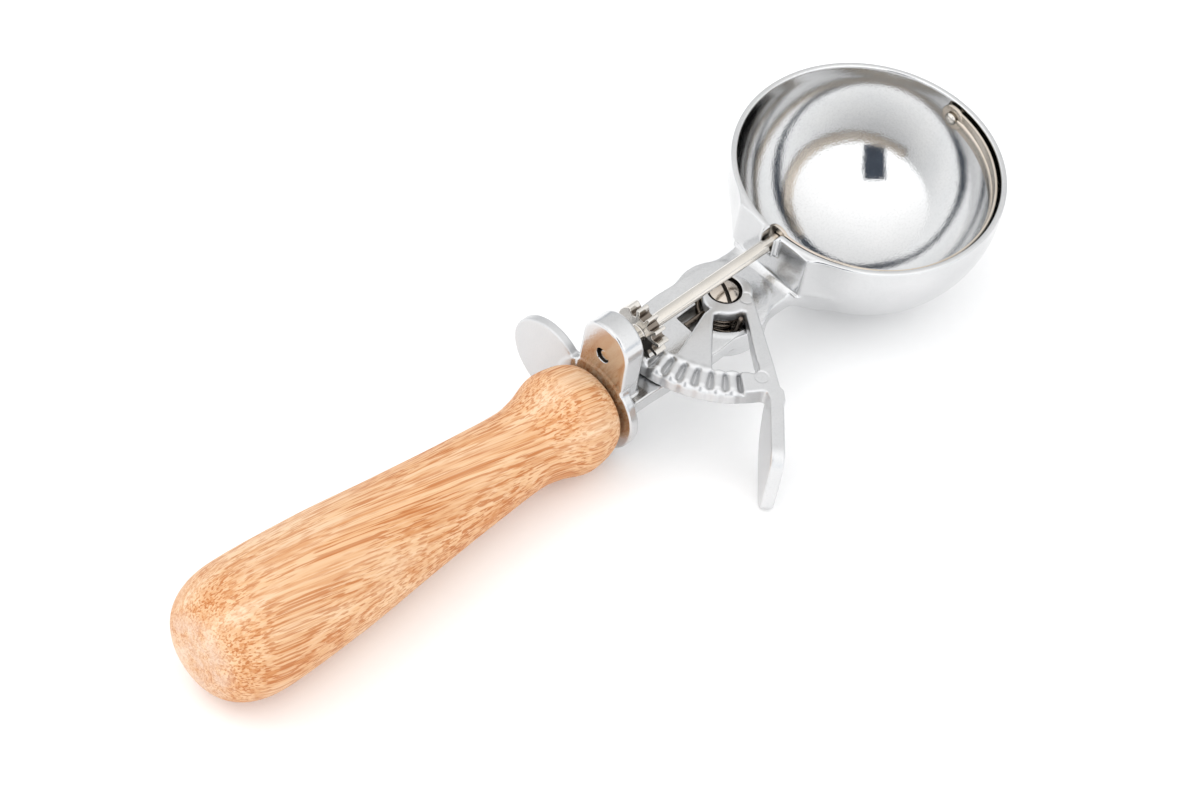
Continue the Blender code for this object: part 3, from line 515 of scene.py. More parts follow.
def wood():
    """Open-pored wood, turned. The fibres lie at an angle to the handle's axis.
    The pores are long thin tubes along them, so they show as dashes on the
    sides and as dots where the surface turns across the fibres."""
    m = Nodes("turned_wood")
    tilt = math.radians(HANDLE_TILT)
    at = m.coords(rotation=(0.0, math.radians(GRAIN_TURN[0]), math.radians(GRAIN_TURN[1])))
    # a slow wander of the grain
    drift = m.new("ShaderNodeTexNoise")
    drift.inputs["Scale"].default_value = 30.0
    drift.inputs["Detail"].default_value = 1.0
    m.link(at, drift.inputs["Vector"])
    shift = m.new("ShaderNodeVectorMath", operation="MULTIPLY_ADD")
    m.link(drift.outputs["Color"], shift.inputs[0])
    shift.inputs[1].default_value = (0.003, 0.0009, 0.0009)
    m.link(at, shift.inputs[2])
    grain = shift.outputs["Vector"]

    def stretched(along, across, seed=0.0):
        mp = m.new("ShaderNodeMapping")
        mp.inputs["Scale"].default_value = (along, across, across)
        mp.inputs["Location"].default_value = (seed, seed * 1.7, seed * 0.6)
        m.link(grain, mp.inputs["Vector"])
        return mp.outputs["Vector"]

    def pores(along, across, width, low, high, seed):
        v = m.new("ShaderNodeTexVoronoi", feature="F1")
        v.inputs["Scale"].default_value = 1.0
        m.link(stretched(along, across, seed), v.inputs["Vector"])
        dash = m.range(v.outputs["Distance"], width, width * 0.45, 0.0, 1.0)
        keep = m.new("ShaderNodeSeparateColor")
        m.link(v.outputs["Color"], keep.inputs["Color"])
        return m.math("MULTIPLY", dash, m.range(keep.outputs["Red"], low, high, 0.0, 1.0))

    broad = m.noise(stretched(16.0, 110.0), 1.0, 3.0, 0.55)
    band = m.noise(stretched(9.0, 210.0, 2.3), 1.0, 2.0, 0.5, 0.3)
    fibre = m.noise(stretched(30.0, 2200.0, 5.1), 1.0, 3.0, 0.6)
    figure = m.noise(stretched(18.0, 620.0, 8.4), 1.0, 3.0, 0.6)
    wide = m.noise(stretched(16.0, 1350.0, 13.3), 1.0, 2.0, 0.5)
    thin = m.noise(stretched(20.0, 2300.0, 21.7), 1.0, 2.0, 0.5)
    tone = m.ramp(broad, [(0.30, (0.790, 0.585, 0.400)), (0.48, (0.745, 0.475, 0.265)),
                          (0.68, (0.670, 0.350, 0.155))])
    tone = m.mix(m.range(band, 0.40, 0.62, 0.0, 0.40), tone, (0.610, 0.290, 0.112))
    tone = m.mix(m.range(fibre, 0.38, 0.64, 0.0, 0.40), tone, (0.780, 0.580, 0.400))
    tone = m.mix(m.range(figure, 0.46, 0.62, 0.0, 0.45), tone, (0.585, 0.265, 0.098))
    some = m.range(broad, 0.32, 0.55, 0.35, 1.0)
    tone = m.mix(m.math("MULTIPLY", m.range(wide, 0.53, 0.60, 0.0, 0.70), some), tone,
                 (0.530, 0.200, 0.056))
    tone = m.mix(m.math("MULTIPLY", m.range(thin, 0.53, 0.59, 0.0, 0.88), some), tone,
                 (0.450, 0.145, 0.034))
    some = m.range(band, 0.36, 0.54, 0.35, 1.0)
    short = m.math("MAXIMUM", pores(150.0, 1250.0, 0.36, 0.15, 0.40, 3.1),
                   pores(190.0, 1500.0, 0.34, 0.35, 0.60, 7.7))
    long = m.math("MAXIMUM", pores(48.0, 1150.0, 0.22, 0.35, 0.60, 11.9),
                  pores(75.0, 1400.0, 0.26, 0.45, 0.70, 17.3))
    short = m.math("MULTIPLY", short, m.math("MULTIPLY", some, 0.42))
    both = m.math("MAXIMUM", short, m.math("MULTIPLY", long, 0.75))
    tone = m.mix(m.math("MULTIPLY", both, 0.72), tone, (0.455, 0.155, 0.042))
    # end grain on the small flat of the butt: paler, greyer, duller
    along = m.new("ShaderNodeSeparateXYZ")
    m.link(m.coords(rotation=(0, -tilt, 0)), along.inputs[0])
    scuff = m.noise(m.coords(), 300.0, 3.0, 0.6)
    edge = m.math("ADD", along.outputs["X"], m.range(scuff, 0.3, 0.7, -0.0007, 0.0007))
    butt = m.range(edge, BUTT_X + 0.0018, BUTT_X + 0.0006, 0.0, 1.0)
    pale = m.math("MULTIPLY", butt, m.range(scuff, 0.35, 0.6, 0.05, 0.50))
    tone = m.mix(pale, tone, (0.74, 0.60, 0.50))
    m.link(tone, m.bsdf.inputs["Base Color"])
    rough = m.range(fibre, 0.3, 0.7, 0.46, 0.60)
    m.link(m.math("ADD", rough, m.math("MULTIPLY", pale, 0.2)), m.bsdf.inputs["Roughness"])
    normal = m.bump(m.math("SUBTRACT", 1.0, both), 1.0, 0.00004)
    normal = m.bump(fibre, 1.0, 0.00001, normal)
    m.link(normal, m.bsdf.inputs["Normal"])
    m.bsdf.inputs["Specular IOR Level"].default_value = 0.32
    return m.mat


def butt_position():
    """Where the handle's end lies along the turned, tilted axis, in metres, in
    coordinates rotated by the same tilt."""
    tilt = math.radians(HANDLE_TILT)
    p = Vector((FLANGE_X, 0, HANDLE_AXIS_Z)) + Vector(
        (-math.cos(tilt), 0, math.sin(tilt))) * (0.9 + HANDLE_LEN)
    return (Matrix.Rotation(-tilt, 3, "Y") @ p).x * MM


BUTT_X = butt_position()
WOOD = wood()


# ------------------------------------------------------------------ bowl + frame
def arc(cx, cy, r, a0, a1, n):
    return [(cx + r * math.cos(math.radians(a0 + (a1 - a0) * i / n)),
             cy + r * math.sin(math.radians(a0 + (a1 - a0) * i / n)))
            for i in range(n + 1)]


def bar_outline():
    half = [(FLANGE_X + 1.0, BAR_HALF), (-72.0, BAR_HALF), (-53.0, BAR_HALF + 0.9),
            (-47.0, BAR_HALF + 0.6), (-33.6, 8.3), (-28.5, 8.3)]
    return [(x, -y) for x, y in half] + half[::-1]


BAR = Outline(bar_outline(), 0.15)
PAD = Outline([(-24.9, -15.2), (-29.55, -10.1), (-29.7, -9.5), (-29.7, 9.5),
               (-29.55, 10.1), (-24.9, 15.2), (-18, 15), (-18, -15)], 0.12, 0.2)
LEDGE = Outline([(-27.6, -11.0), (-29.9, -10.3), (-30.35, -9.8), (-30.35, 8.6),
                 (-29.9, 9.3), (-27.6, 10.0), (-22, 10), (-22, -11)], 0.12, 0.15)
POCKET = Outline(arc(PIVOT_X, 0, POCKET_FAR_R, -68, 184, 80)
                 + arc(PIVOT_X, 0, POCKET_R, 190, 266, 40), 0.1, 0.12)
LUG = Outline(arc(0, -0.6, 6.4, 0, 180, 60) + [(-6.5, -17.5), (6.5, -17.5)], 0.1, 0.1)
NECK_X = np.array([-47.0, -33.0, -30.0, -27.5, -25.0, -22.5, -17.0])
NECK = np.array([(8.2, -17.2, -13.5, 1.2), (8.2, -17.3, -12.8, 1.5), (8.5, -17.8, -12.5, 2.0),
                 (9.2, -18.9, -12.0, 2.6), (10.0, -20.6, -11.0, 3.2),
                 (10.6, -22.2, -10.0, 3.6), (9.0, -22.4, -9.0, 3.6)])


def neck_field(x, y, z):
    half, low, high, r = (np.interp(x, NECK_X, NECK[:, i]) for i in range(4))
    qy = np.abs(y) - half + r
    qz = np.abs(z - (low + high) / 2) - (high - low) / 2 + r
    d = (np.minimum(np.maximum(qy, qz), 0) + np.hypot(np.maximum(qy, 0), np.maximum(qz, 0)) - r)
    return np.maximum(d * 0.9, np.abs(x + 32.0) - 15.0)


def frame_field(p):
    x, y, z = p[:, 0], p[:, 1], p[:, 2]
    zs = np.minimum(z - SHAFT_Z, 0.0)
    ball = np.sqrt(x * x + y * y + zs * zs)
    outer = ball - BOWL_R + 0.03
    d = outer
    near = x < -14.0
    if near.any():
        X, Y, Z = x[near], y[near], z[near]
        o = outer[near]
        pad = slab(PAD(X, Y), Z, -11.9, -0.25, 0.45)
        ledge = slab(LEDGE(X, Y), Z, -12.75, -12.05, 0.3)
        neck = neck_field(X, Y, Z)
        bar = slab(BAR(X, Y), Z, BAR_TOP - BAR_T, BAR_TOP, 0.45)
        r2 = np.hypot(X - PIVOT_X, Y)
        cup = slab(r2 - CUP_R, Z, CUP_BOTTOM, BAR_TOP + 0.02, 0.55)
        rib = slab(np.abs(Y) - 5.2, X, -79.0, -46.0, 0.4)
        rib = np.maximum(rib, slab(np.abs(Y) - 5.2, Z, -18.6, -14.0, 0.6))
        arm = smin(neck, bar, 0.9)
        arm = smin(arm, cup, 0.8)
        arm = smin(arm, rib, 0.7)
        o = smin(o, arm, 4.2)
        o = smin(o, ledge, 0.25)
        o = smin(o, pad, 0.7)
        ears = slab(np.hypot(np.maximum(np.abs(X + 30.2) - 0.9, 0.0),
                             np.maximum(np.abs(Y) - 1.5, 0.0)) - 0.4, Z, -5.5, 0.0, 0.3)
        o = smin(o, ears, 1.3)
        # end flange
        tilt = math.radians(HANDLE_TILT)
        seat = slab(np.hypot(Y, Z - REST_Z - 0.2) - LOBE_R, X, FLANGE_X, FLANGE_X + FLANGE_T, 0.4)
        rest = slab(np.hypot(Y - REST_Y, Z - REST_Z) - REST_R, X, FLANGE_X + 0.02,
                    FLANGE_X + 2.2, 0.5)
        lug = slab(LUG(Y, Z), X, FLANGE_X, FLANGE_X + LUG_T, 0.75)
        boss = slab(np.hypot(Y, Z - HANDLE_AXIS_Z) - 5.6, X, -78.5, -70.7, 0.8)
        end = smin(smin(seat, rest, 0.8), lug, 0.9)
        end = smin(end, boss, 0.8)
        o = smin(o, end, 0.8)
        # spring pocket round its post
        post = slab(r2 - POST_R, Z, -22.0, POST_TOP, 0.25)
        pocket = slab(POCKET(X, Y), Z, POCKET_FLOOR, -6.0, 0.5)
        slot = slab(np.maximum(np.abs(X + 50.65) - 3.15, np.abs(Y - 0.1) - 2.2), Z,
                    SLOT_FLOOR, -6.0, 1.6)
        o = smax(o, -np.minimum(pocket, slot), 0.35)
        o = smin(o, np.maximum(post, CUP_BOTTOM + 0.5 - Z), 0.3)
        o = smax(o, -np.maximum(r2 - 1.3, 0 * Z - 40), 0.1)
        # hole for the shaft's journal
        hole = np.hypot(Y - JOURNAL_HOLE_OFFSET[0], Z - SHAFT_Z - JOURNAL_HOLE_OFFSET[1]) \
            - JOURNAL_HOLE_R
        hole = np.maximum(hole, X + 72.0)
        o = smax(o, -hole, 0.12)
        # notch in the rim
        neck_r = SHAFT_NECK_R + 0.25
        notch = np.where(Z > SHAFT_Z, np.abs(Y), np.hypot(Y, Z - SHAFT_Z)) - neck_r
        notch = np.maximum(notch, np.abs(X + 30.0) - 4.0)
        o = smax(o, -notch, 0.25)
        # the stud's hole
        sx = (X - FLANGE_X) * math.cos(tilt) - (Z - HANDLE_AXIS_Z) * math.sin(tilt)
        sz = (X - FLANGE_X) * math.sin(tilt) + (Z - HANDLE_AXIS_Z) * math.cos(tilt)
        stud = np.maximum(np.hypot(Y, sz) - 2.85, sx - 7.4)
        o = smax(o, -stud, 0.2)
        d = d.copy()
        d[near] = o
    far = x > 20.0
    if far.any():
        hole = np.maximum(np.hypot(y[far], z[far] - SHAFT_Z) - 1.1, 20.0 - x[far])
        d = d.copy()
        d[far] = smax(d[far], -hole, 0.15)
    # open the bowl and cut its rim
    rim = z
    body = np.where(x > -33.0, smax(d, rim, 0.7), d)
    inner = ball - (BOWL_R - BOWL_WALL)
    return smax(body, -inner, 0.6)


def make_frame():
    verts, quads, normals = surface(frame_field, (-80.5, -31.5, -34.8), (31.5, 31.5, 7.2),
                                    FRAME_STEP)
    piece = mesh_object("cast_bowl_and_frame", verts, quads, CAST, normals)
    piece.data.materials.append(BOWL)        # the burnished inside of the bowl
    mid = verts[quads].mean(1)
    inside = np.sqrt((mid[:, 0] ** 2 + mid[:, 1] ** 2
                      + np.minimum(mid[:, 2] - SHAFT_Z, 0.0) ** 2)) < BOWL_R - BOWL_WALL + 0.25
    piece.data.materials.append(AS_CAST)     # the finger rest and the slot keep their skin
    rest = (mid[:, 0] < FLANGE_X + 2.4) & (mid[:, 1] > 7.6)
    rest |= ((np.abs(mid[:, 0] + 50.8) < 3.2) & (np.abs(mid[:, 1] - 0.1) < 2.3)
             & (mid[:, 2] < BAR_TOP - 0.15) & (mid[:, 2] > SLOT_FLOOR - 0.2))
    piece.data.materials.append(PAINTED_SHADE)       # painted shade inside the bore of the lug
    bore = ((np.hypot(mid[:, 1] - JOURNAL_HOLE_OFFSET[0],
                      mid[:, 2] - SHAFT_Z - JOURNAL_HOLE_OFFSET[1]) < JOURNAL_HOLE_R + 0.05)
            & (mid[:, 0] < -72.0) & (mid[:, 2] > -7.0))
    piece.data.polygons.foreach_set("material_index",
                                    (inside + 2 * rest + 3 * bore).astype(np.int32))
    return place(piece, "frame", "polished_casting", "frame_and_bowl")


# ------------------------------------------------------------------------ lever
def polar(r, deg):
    a = math.radians(deg)
    return (PIVOT_X - r * math.cos(a), -r * math.sin(a))


def polar_arc(r, a0, a1, n):
    return [polar(r, a0 + (a1 - a0) * i / n) for i in range(n + 1)]


PADDLE_DIR = Vector((-0.697, -0.717, 0)).normalized()
PADDLE_NORMAL = Vector((-0.717, 0.697, 0)).normalized()
PADDLE_ROOT = Vector((-54.75, -29.55, 0))
ARM_DIR = Vector((-0.537, -0.844, 0)).normalized()
ARM_EDGE = 5.75
FIRST = -6.0


def hub_radius(deg):
    """The hub is slimmer on its far side than where the arms leave it."""
    grow = 0.0
    if deg < 205:
        grow = min(1.0, (205 - deg) / 55.0)
    elif deg > 325:
        grow = min(1.0, (deg - 325) / 50.0)
    grow = grow * grow * (3 - 2 * grow)
    return HUB_FAR_R + (HUB_R - HUB_FAR_R) * grow


def lever_outline():
    outline = [polar(hub_radius(a), a) for a in range(122, 377, 2)]
    outline += [polar(8.2, 13.5), polar(21.4, 17.7), polar(22.3, 16.8), polar(22.7, 14.6)]
    outline += polar_arc(SECTOR_IN_R - 0.4, 12.0, FIRST, 20)
    outline += polar_arc(SECTOR_OUT_R, FIRST, 60.5, 90)
    outline += [(-56.0, -25.25), (-55.75, -25.8), (-55.85, -26.5)]
    n = Vector((-ARM_DIR.y, ARM_DIR.x, 0))
    corner = Vector((PIVOT_X, 0, 0)) + n * ARM_EDGE + ARM_DIR * 31.2
    outline += [(-55.0, -27.8), (corner.x - 0.1, corner.y + 0.1), (corner.x, corner.y)]
    start = Vector((PIVOT_X, 0, 0)) + n * ARM_EDGE + ARM_DIR * 2.2
    outline.append((start.x, start.y))
    return outline


def window_outline():
    window = polar_arc(6.6, 36, 80, 16)
    window += [(-43.4, -7.3), (-45.5, -10.2), (-48.3, -13.8), (-51.1, -17.8),
               (-51.9, -19.3), (-52.9, -20.3), (-54.4, -20.4)]
    window += polar_arc(22.9, 57, 42.5, 16) + [(-60.4, -14.9), (-60.5, -14.2)]
    window += [(-55.5, -9.3), (-50.5, -4.6), (-49.1, -3.5)]
    return window


def paddle_outline():
    s1, z1, r1 = 12.0, -4.0, 4.0
    s2, z2, r2 = 12.7, -15.5, 3.1
    side = arc(s1, z1, r1, 90, 0, 16) + [(15.95, -9.5)] + arc(s2, z2, r2, 0, -80, 16)
    side += [(8.7, -18.2), (4.0, -17.5), (1.3, -16.9), (-0.4, -16.1), (-2.0, -14.6),
             (-3.3, -12.6), (-4.4, -9.6), (-5.0, -6.6), (-5.2, -4.0), (-5.2, -2.2),
             (-2.9, -1.6), (-2.9, 0.0)]
    return side


LEVER_SHAPE = Outline(lever_outline(), 0.1, 0.15)
WINDOW = Outline(window_outline(), 0.1, 0.25)
PADDLE = Outline(paddle_outline(), 0.12, 0.25)
STRIP = Outline(polar_arc(SECTOR_IN_R, FIRST - 3, 53.0, 60)
                + polar_arc(SECTOR_OUT_R + 3.5, 53.0, FIRST - 3, 60), 0.1, 0.08)


def lever_field(p):
    x, y, z = p[:, 0], p[:, 1], p[:, 2]
    r = np.hypot(x - PIVOT_X, y)
    slope = (LEVER_TOP - HUB_TOP) / (22.8 - HUB_R)
    top = np.clip(HUB_TOP + (r - HUB_R) * slope, HUB_TOP, LEVER_TOP)
    for cx, cy in ((-40.6, -4.7), (-53.9, -22.2)):      # round marks of the mould's pins
        ring = np.abs(np.hypot(x - cx, y - cy) - 1.45)
        disc = np.clip((1.5 - np.hypot(x - cx, y - cy)) / 0.3, 0, 1)
        top = top - 0.10 * disc - 0.10 * np.clip(1 - ring / 0.28, 0, 1)
    flat = LEVER_SHAPE(x, y)
    mid = (top + LEVER_BOTTOM) / 2
    half = (top - LEVER_BOTTOM) / 2
    e = 0.5
    a, b = flat + e, np.abs(z - mid) - half + e
    d = np.minimum(np.maximum(a, b), 0) + np.hypot(np.maximum(a, 0), np.maximum(b, 0)) - e
    # paddle
    s = (x - PADDLE_ROOT.x) * PADDLE_DIR.x + (y - PADDLE_ROOT.y) * PADDLE_DIR.y
    n = (x - PADDLE_ROOT.x) * PADDLE_NORMAL.x + (y - PADDLE_ROOT.y) * PADDLE_NORMAL.y
    paddle = slab(PADDLE(s, z - LEVER_TOP), n, -0.1, PADDLE_T, 0.55)
    d = smin(d, paddle, 1.3)
    d = np.maximum(d, z - LEVER_TOP)
    # window, lowered tooth strip, screw recess and bore
    d = smax(d, -WINDOW(x, y), 0.7)
    t = np.clip((r - 26.7) / 1.1, 0.0, 1.0)
    floor_z = TOOTH_ROOT_Z + (LIP_Z - TOOTH_ROOT_Z) * t * t * (3 - 2 * t)
    strip = np.maximum(STRIP(x, y), floor_z - z)
    d = smax(d, -strip, 0.7)
    recess = np.maximum(r - HEAD_RECESS_R, RECESS_FLOOR - z)
    d = smax(d, -recess, 0.35)
    d = smax(d, -(r - 2.35), 0.2)
    # teeth
    pitch = 2 * math.pi / SECTOR_TEETH_FULL
    angle = np.arctan2(-y, -(x - PIVOT_X))
    k = np.clip(np.round((angle - math.radians(TOOTH_0)) / pitch), 0, 7)
    off = angle - (math.radians(TOOTH_0) + k * pitch)
    u, v = r * np.cos(off), r * np.sin(off)
    w = np.interp(u, [22.6, 25.0, 27.0, 27.8, 28.3], [1.00, 1.08, 1.15, 1.06, 0.78])
    crest = np.interp(u, [22.6, 25.0, 27.0, 27.8, 28.3], [-8.15, -8.15, -8.2, -8.5, -9.0]) - w
    bar = np.hypot(v, np.maximum(z - crest, 0.0)) - w
    bar = np.maximum(bar * 0.95, LEVER_BOTTOM + 0.6 - z)
    tooth = slab(bar, u, 22.75, 28.35, 0.6)
    tooth = np.maximum(tooth, -(STRIP(x, y) * -1 + 4.0))
    return smin(d, tooth, 1.1)


def make_lever():
    verts, quads, normals = surface(lever_field, (-72.0, -43.5, -27.5), (-35.5, 7.2, -7.2),
                                    LEVER_STEP)
    piece = mesh_object("cast_thumb_lever", verts, quads, LEVER, normals)
    piece.data.materials.append(PAINTED_SHADE)       # painted shade round the screw's head, on the walls and floor of its recess
    mid = verts[quads].mean(1)
    r = np.hypot(mid[:, 0] - PIVOT_X, mid[:, 1])
    piece.data.polygons.foreach_set(
        "material_index", ((r < HEAD_RECESS_R + 0.08) & (mid[:, 2] < HUB_TOP - 0.25)
                           & (mid[:, 2] > RECESS_FLOOR - 0.3)).astype(np.int32))
    return place(piece, "lever", "lever_casting", "thumb_lever")


# ------------------------------------------------------- shaft, pinion, scraper
def make_shaft():
    j, s, n, t = SHAFT_X
    profile = [(j, 0.0), (j, SHAFT_PIN_R), (s, SHAFT_PIN_R), (s, SHAFT_R), (n, SHAFT_R),
               (n, SHAFT_NECK_R), (t, SHAFT_NECK_R), (t, 0.0)]
    bm = turned(rounded(profile, 0.22), (0, 0, SHAFT_Z), "X", 72)
    piece = bmesh_object("turned_scraper_shaft", bm, NICKEL_TURNED, 50)
    return place(piece, "scraper", "nickel_plate", "scraper_shaft")


def pinion_radius(frac):
    """Radius of the tooth's side at a fraction of the pitch from its middle."""
    f = np.abs(frac)
    return np.interp(f, [0.0, 0.10, 0.145, 0.165, 0.19, 0.215, 0.25, 0.30, 0.5],
                     [PINION_TIP_R, PINION_TIP_R - 0.1, PINION_TIP_R - 0.32, PINION_TIP_R - 0.6,
                      PINION_ROOT_R + 1.05, PINION_ROOT_R + 0.6, PINION_ROOT_R + 0.22,
                      PINION_ROOT_R + 0.05, PINION_ROOT_R])


def pinion_outline():
    pitch = 360.0 / PINION_TEETH
    phase = 270.0 + pitch * (0.5 - TOOTH_0 / (360.0 / SECTOR_TEETH_FULL))
    fracs = [-0.5, -0.4, -0.3, -0.25, -0.215, -0.19, -0.165, -0.145, -0.10, -0.05,
             0.0, 0.05, 0.10, 0.145, 0.165, 0.19, 0.215, 0.25, 0.3, 0.4]
    pts = []
    for i in range(PINION_TEETH):
        for f in fracs:
            deg = (phase + pitch * (i + f) + 180.0) % 360.0 - 180.0
            a = math.radians(deg)
            blank = PINION_BLANK[0] <= deg <= PINION_BLANK[1]
            r = PINION_TIP_R if blank else float(pinion_radius(f))
            pts.append((r * math.cos(a), SHAFT_Z + r * math.sin(a)))
    return pts


PINION = Outline(pinion_outline(), 0.05, 0.06)


def pinion_field(p):
    x, y, z = p[:, 0], p[:, 1], p[:, 2]
    r = np.hypot(y, z - SHAFT_Z)
    d = slab(PINION(y, z), x, PINION_X[0], PINION_X[1], 0.22)
    hub = slab(r - PINION_HUB[1], x, PINION_HUB[0], PINION_X[0] + 0.5, 0.2)
    d = smin(d, hub, 0.3)
    return smax(d, -(r - SHAFT_PIN_R - 0.1), 0.12)


def make_pinion():
    c = PINION_TIP_R + 0.4
    verts, quads, normals = surface(pinion_field, (PINION_HUB[0] - 0.4, -c, SHAFT_Z - c),
                                    (PINION_X[1] + 0.5, c, SHAFT_Z + c), 0.11, eps=0.03)
    piece = mesh_object("milled_pinion", verts, quads, NICKEL, normals)
    piece.data.materials.append(GAP_SHADE)       # painted shade in the gaps between the teeth
    mid = verts[quads].mean(1)
    r = np.hypot(mid[:, 1], mid[:, 2] - SHAFT_Z)
    gap = ((r < PINION_ROOT_R + 0.9) & (r > PINION_ROOT_R - 0.25)
           & (mid[:, 0] > PINION_X[0] + 0.1) & (mid[:, 0] < PINION_X[1] - 0.1))
    piece.data.materials.append(PAINTED_SHADE)       # painted shade on the lower part of its hidden side too
    side = (mid[:, 0] < PINION_X[0] + 0.1) & (mid[:, 2] < SHAFT_Z + 0.8) & (r > PINION_HUB[1])
    piece.data.polygons.foreach_set("material_index",
                                    (gap + 2 * (side & ~gap)).astype(np.int32))
    return place(piece, "scraper", "nickel_plate", "pinion")


def scraper_section(w):
    """Across the band: a thin strip with a pressed rib on its inside."""
    t, r = SCRAPER_T, SCRAPER_R
    pts = [(-w, r - 0.30), (-w + 0.12, r - 0.14), (-w * 0.5, r), (w * 0.5, r),
           (w - 0.12, r - 0.14), (w, r - 0.30), (w, r - t + 0.12), (w - 0.12, r - t)]
    pts += [(1.0, r - t), (0.72, r - t - 0.06), (0.45, r - t - 0.33), (0.2, r - t - 0.44),
            (-0.2, r - t - 0.44), (-0.45, r - t - 0.33), (-0.72, r - t - 0.06), (-1.0, r - t)]
    pts += [(-w + 0.12, r - t), (-w, r - t + 0.12)]
    return pts


def scraper_rings():
    park = math.radians(180 - SCRAPER_PARK)
    out = Vector((0, math.cos(park), math.sin(park)))
    side = Vector((0, -math.sin(park), math.cos(park)))
    rings, n = [], 150
    for i in range(n + 1):
        th = math.radians(3 + 174 * i / n)
        rad = Vector((-math.cos(th), 0, 0)) + out * math.sin(th)
        w = SCRAPER_HALF * min(1.0, 0.80 + 0.4 * math.sin(th))
        rings.append([Vector((0, 0, SHAFT_Z)) + rad * r + side * y
                      for y, r in scraper_section(w)])
    return rings


def make_scraper():
    bm = bmesh.new()
    rows = [[bm.verts.new(p) for p in ring] for ring in scraper_rings()]
    for a, b in zip(rows, rows[1:]):
        for i in range(len(a)):
            j = (i + 1) % len(a)
            bm.faces.new((a[i], a[j], b[j], b[i]))
    bm.faces.new(rows[0][::-1])
    bm.faces.new(rows[-1])
    piece = bmesh_object("scraper_blade", bm, SCRAPER, 28)
    place(piece, "scraper", "nickel_plate", "scraper_band")
    for name, x0, x1, hole in (("scraper_near_tab", -27.95, -27.15, 0.0),
                               ("scraper_far_tab", 27.25, 27.95, 1.15)):
        profile = [(x0, hole), (x0, 3.05), (x1, 3.05), (x1, hole)]
        tab = turned(rounded(profile, 0.18), (0, 0, SHAFT_Z), "X", 64)
        if hole:
            inner = turned([(x1, hole), (x0, hole)], (0, 0, SHAFT_Z), "X", 64)
            other = bpy.data.meshes.new("tab_bore")
            inner.to_mesh(other)
            inner.free()
            tab.from_mesh(other)
            bmesh.ops.remove_doubles(tab, verts=tab.verts, dist=1e-4)
        obj = bmesh_object(name, tab, SCRAPER, 40)
        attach(obj, "scraper")
    return piece


def make_rivet():
    profile = [(25.95, 0.0), (26.0, 0.6), (26.2, 1.1), (26.5, 1.45), (26.95, 1.5),
               (26.95, 1.0), (30.25, 1.0), (30.3, 1.55), (30.75, 1.5), (31.1, 0.95),
               (31.25, 0.0)]
    bm = turned(rounded(profile, 0.2, 3), (0, 0, SHAFT_Z), "X", 48)
    piece = bmesh_object("scraper_rivet", bm, NICKEL, 50)
    return place(piece, "frame", "nickel_plate", "scraper_pivot_rivet")


# ------------------------------------------------------- screw, washers, spring
def screw_field(p):
    x, y, z = p[:, 0] - PIVOT_X, p[:, 1], p[:, 2]
    r = np.hypot(x, y)
    dome = np.sqrt(r * r + (z + 14.6) ** 2) - 5.72
    head = smax(slab(r - SCREW_HEAD_R, z, -10.8, -8.0, 0.15), dome, 0.35)
    shank = slab(r - 2.05, z, -13.15, -10.5, 0.1)
    thread = slab(r - 1.15 - 0.12 * np.cos((z * 2 * math.pi / 0.7) - np.arctan2(y, x)), z,
                  -18.0, -13.0, 0.2)
    d = smin(head, shank, 0.2)
    d = smin(d, thread, 0.1)
    a = math.radians(SLOT_ANGLE)
    across = np.abs(-x * math.sin(a) + y * math.cos(a)) - 0.42
    slot = np.maximum(across, -10.1 - z)
    return smax(d, -slot, 0.14)


def make_screw():
    verts, quads, normals = surface(screw_field, (PIVOT_X - 3.8, -3.8, -18.4),
                                    (PIVOT_X + 3.8, 3.8, -8.4), 0.1, eps=0.03)
    piece = mesh_object("slotted_pivot_screw", verts, quads, SCREW, normals)
    # painted shade on the head's rim, down in the lever's recess, and inside the slot
    piece.data.materials.append(PAINTED_SHADE)
    mid = verts[quads].mean(1)
    a = math.radians(SLOT_ANGLE)
    across = np.abs(-(mid[:, 0] - PIVOT_X) * math.sin(a) + mid[:, 1] * math.cos(a))
    r = np.hypot(mid[:, 0] - PIVOT_X, mid[:, 1])
    painted_shade_faces = (r > SCREW_HEAD_R - 0.22) | ((across < 0.46) & (mid[:, 2] < -9.75))
    piece.data.polygons.foreach_set("material_index", painted_shade_faces.astype(np.int32))
    return place(piece, "frame", "nickel_plate", "pivot_screw")


def make_washer(name, node, x0, x1, r0, r1, centre, axis, material, slot):
    e = 0.1
    profile = [(x0, r0 + e), (x0, r1 - e), (x0 + e, r1), (x1 - e, r1), (x1, r1 - e),
               (x1, r0 + e), (x1 - e, r0), (x0 + e, r0), (x0, r0 + e)]
    piece = bmesh_object(name, turned(profile, centre, axis, 96), material, 60)
    return place(piece, "frame", slot, node)


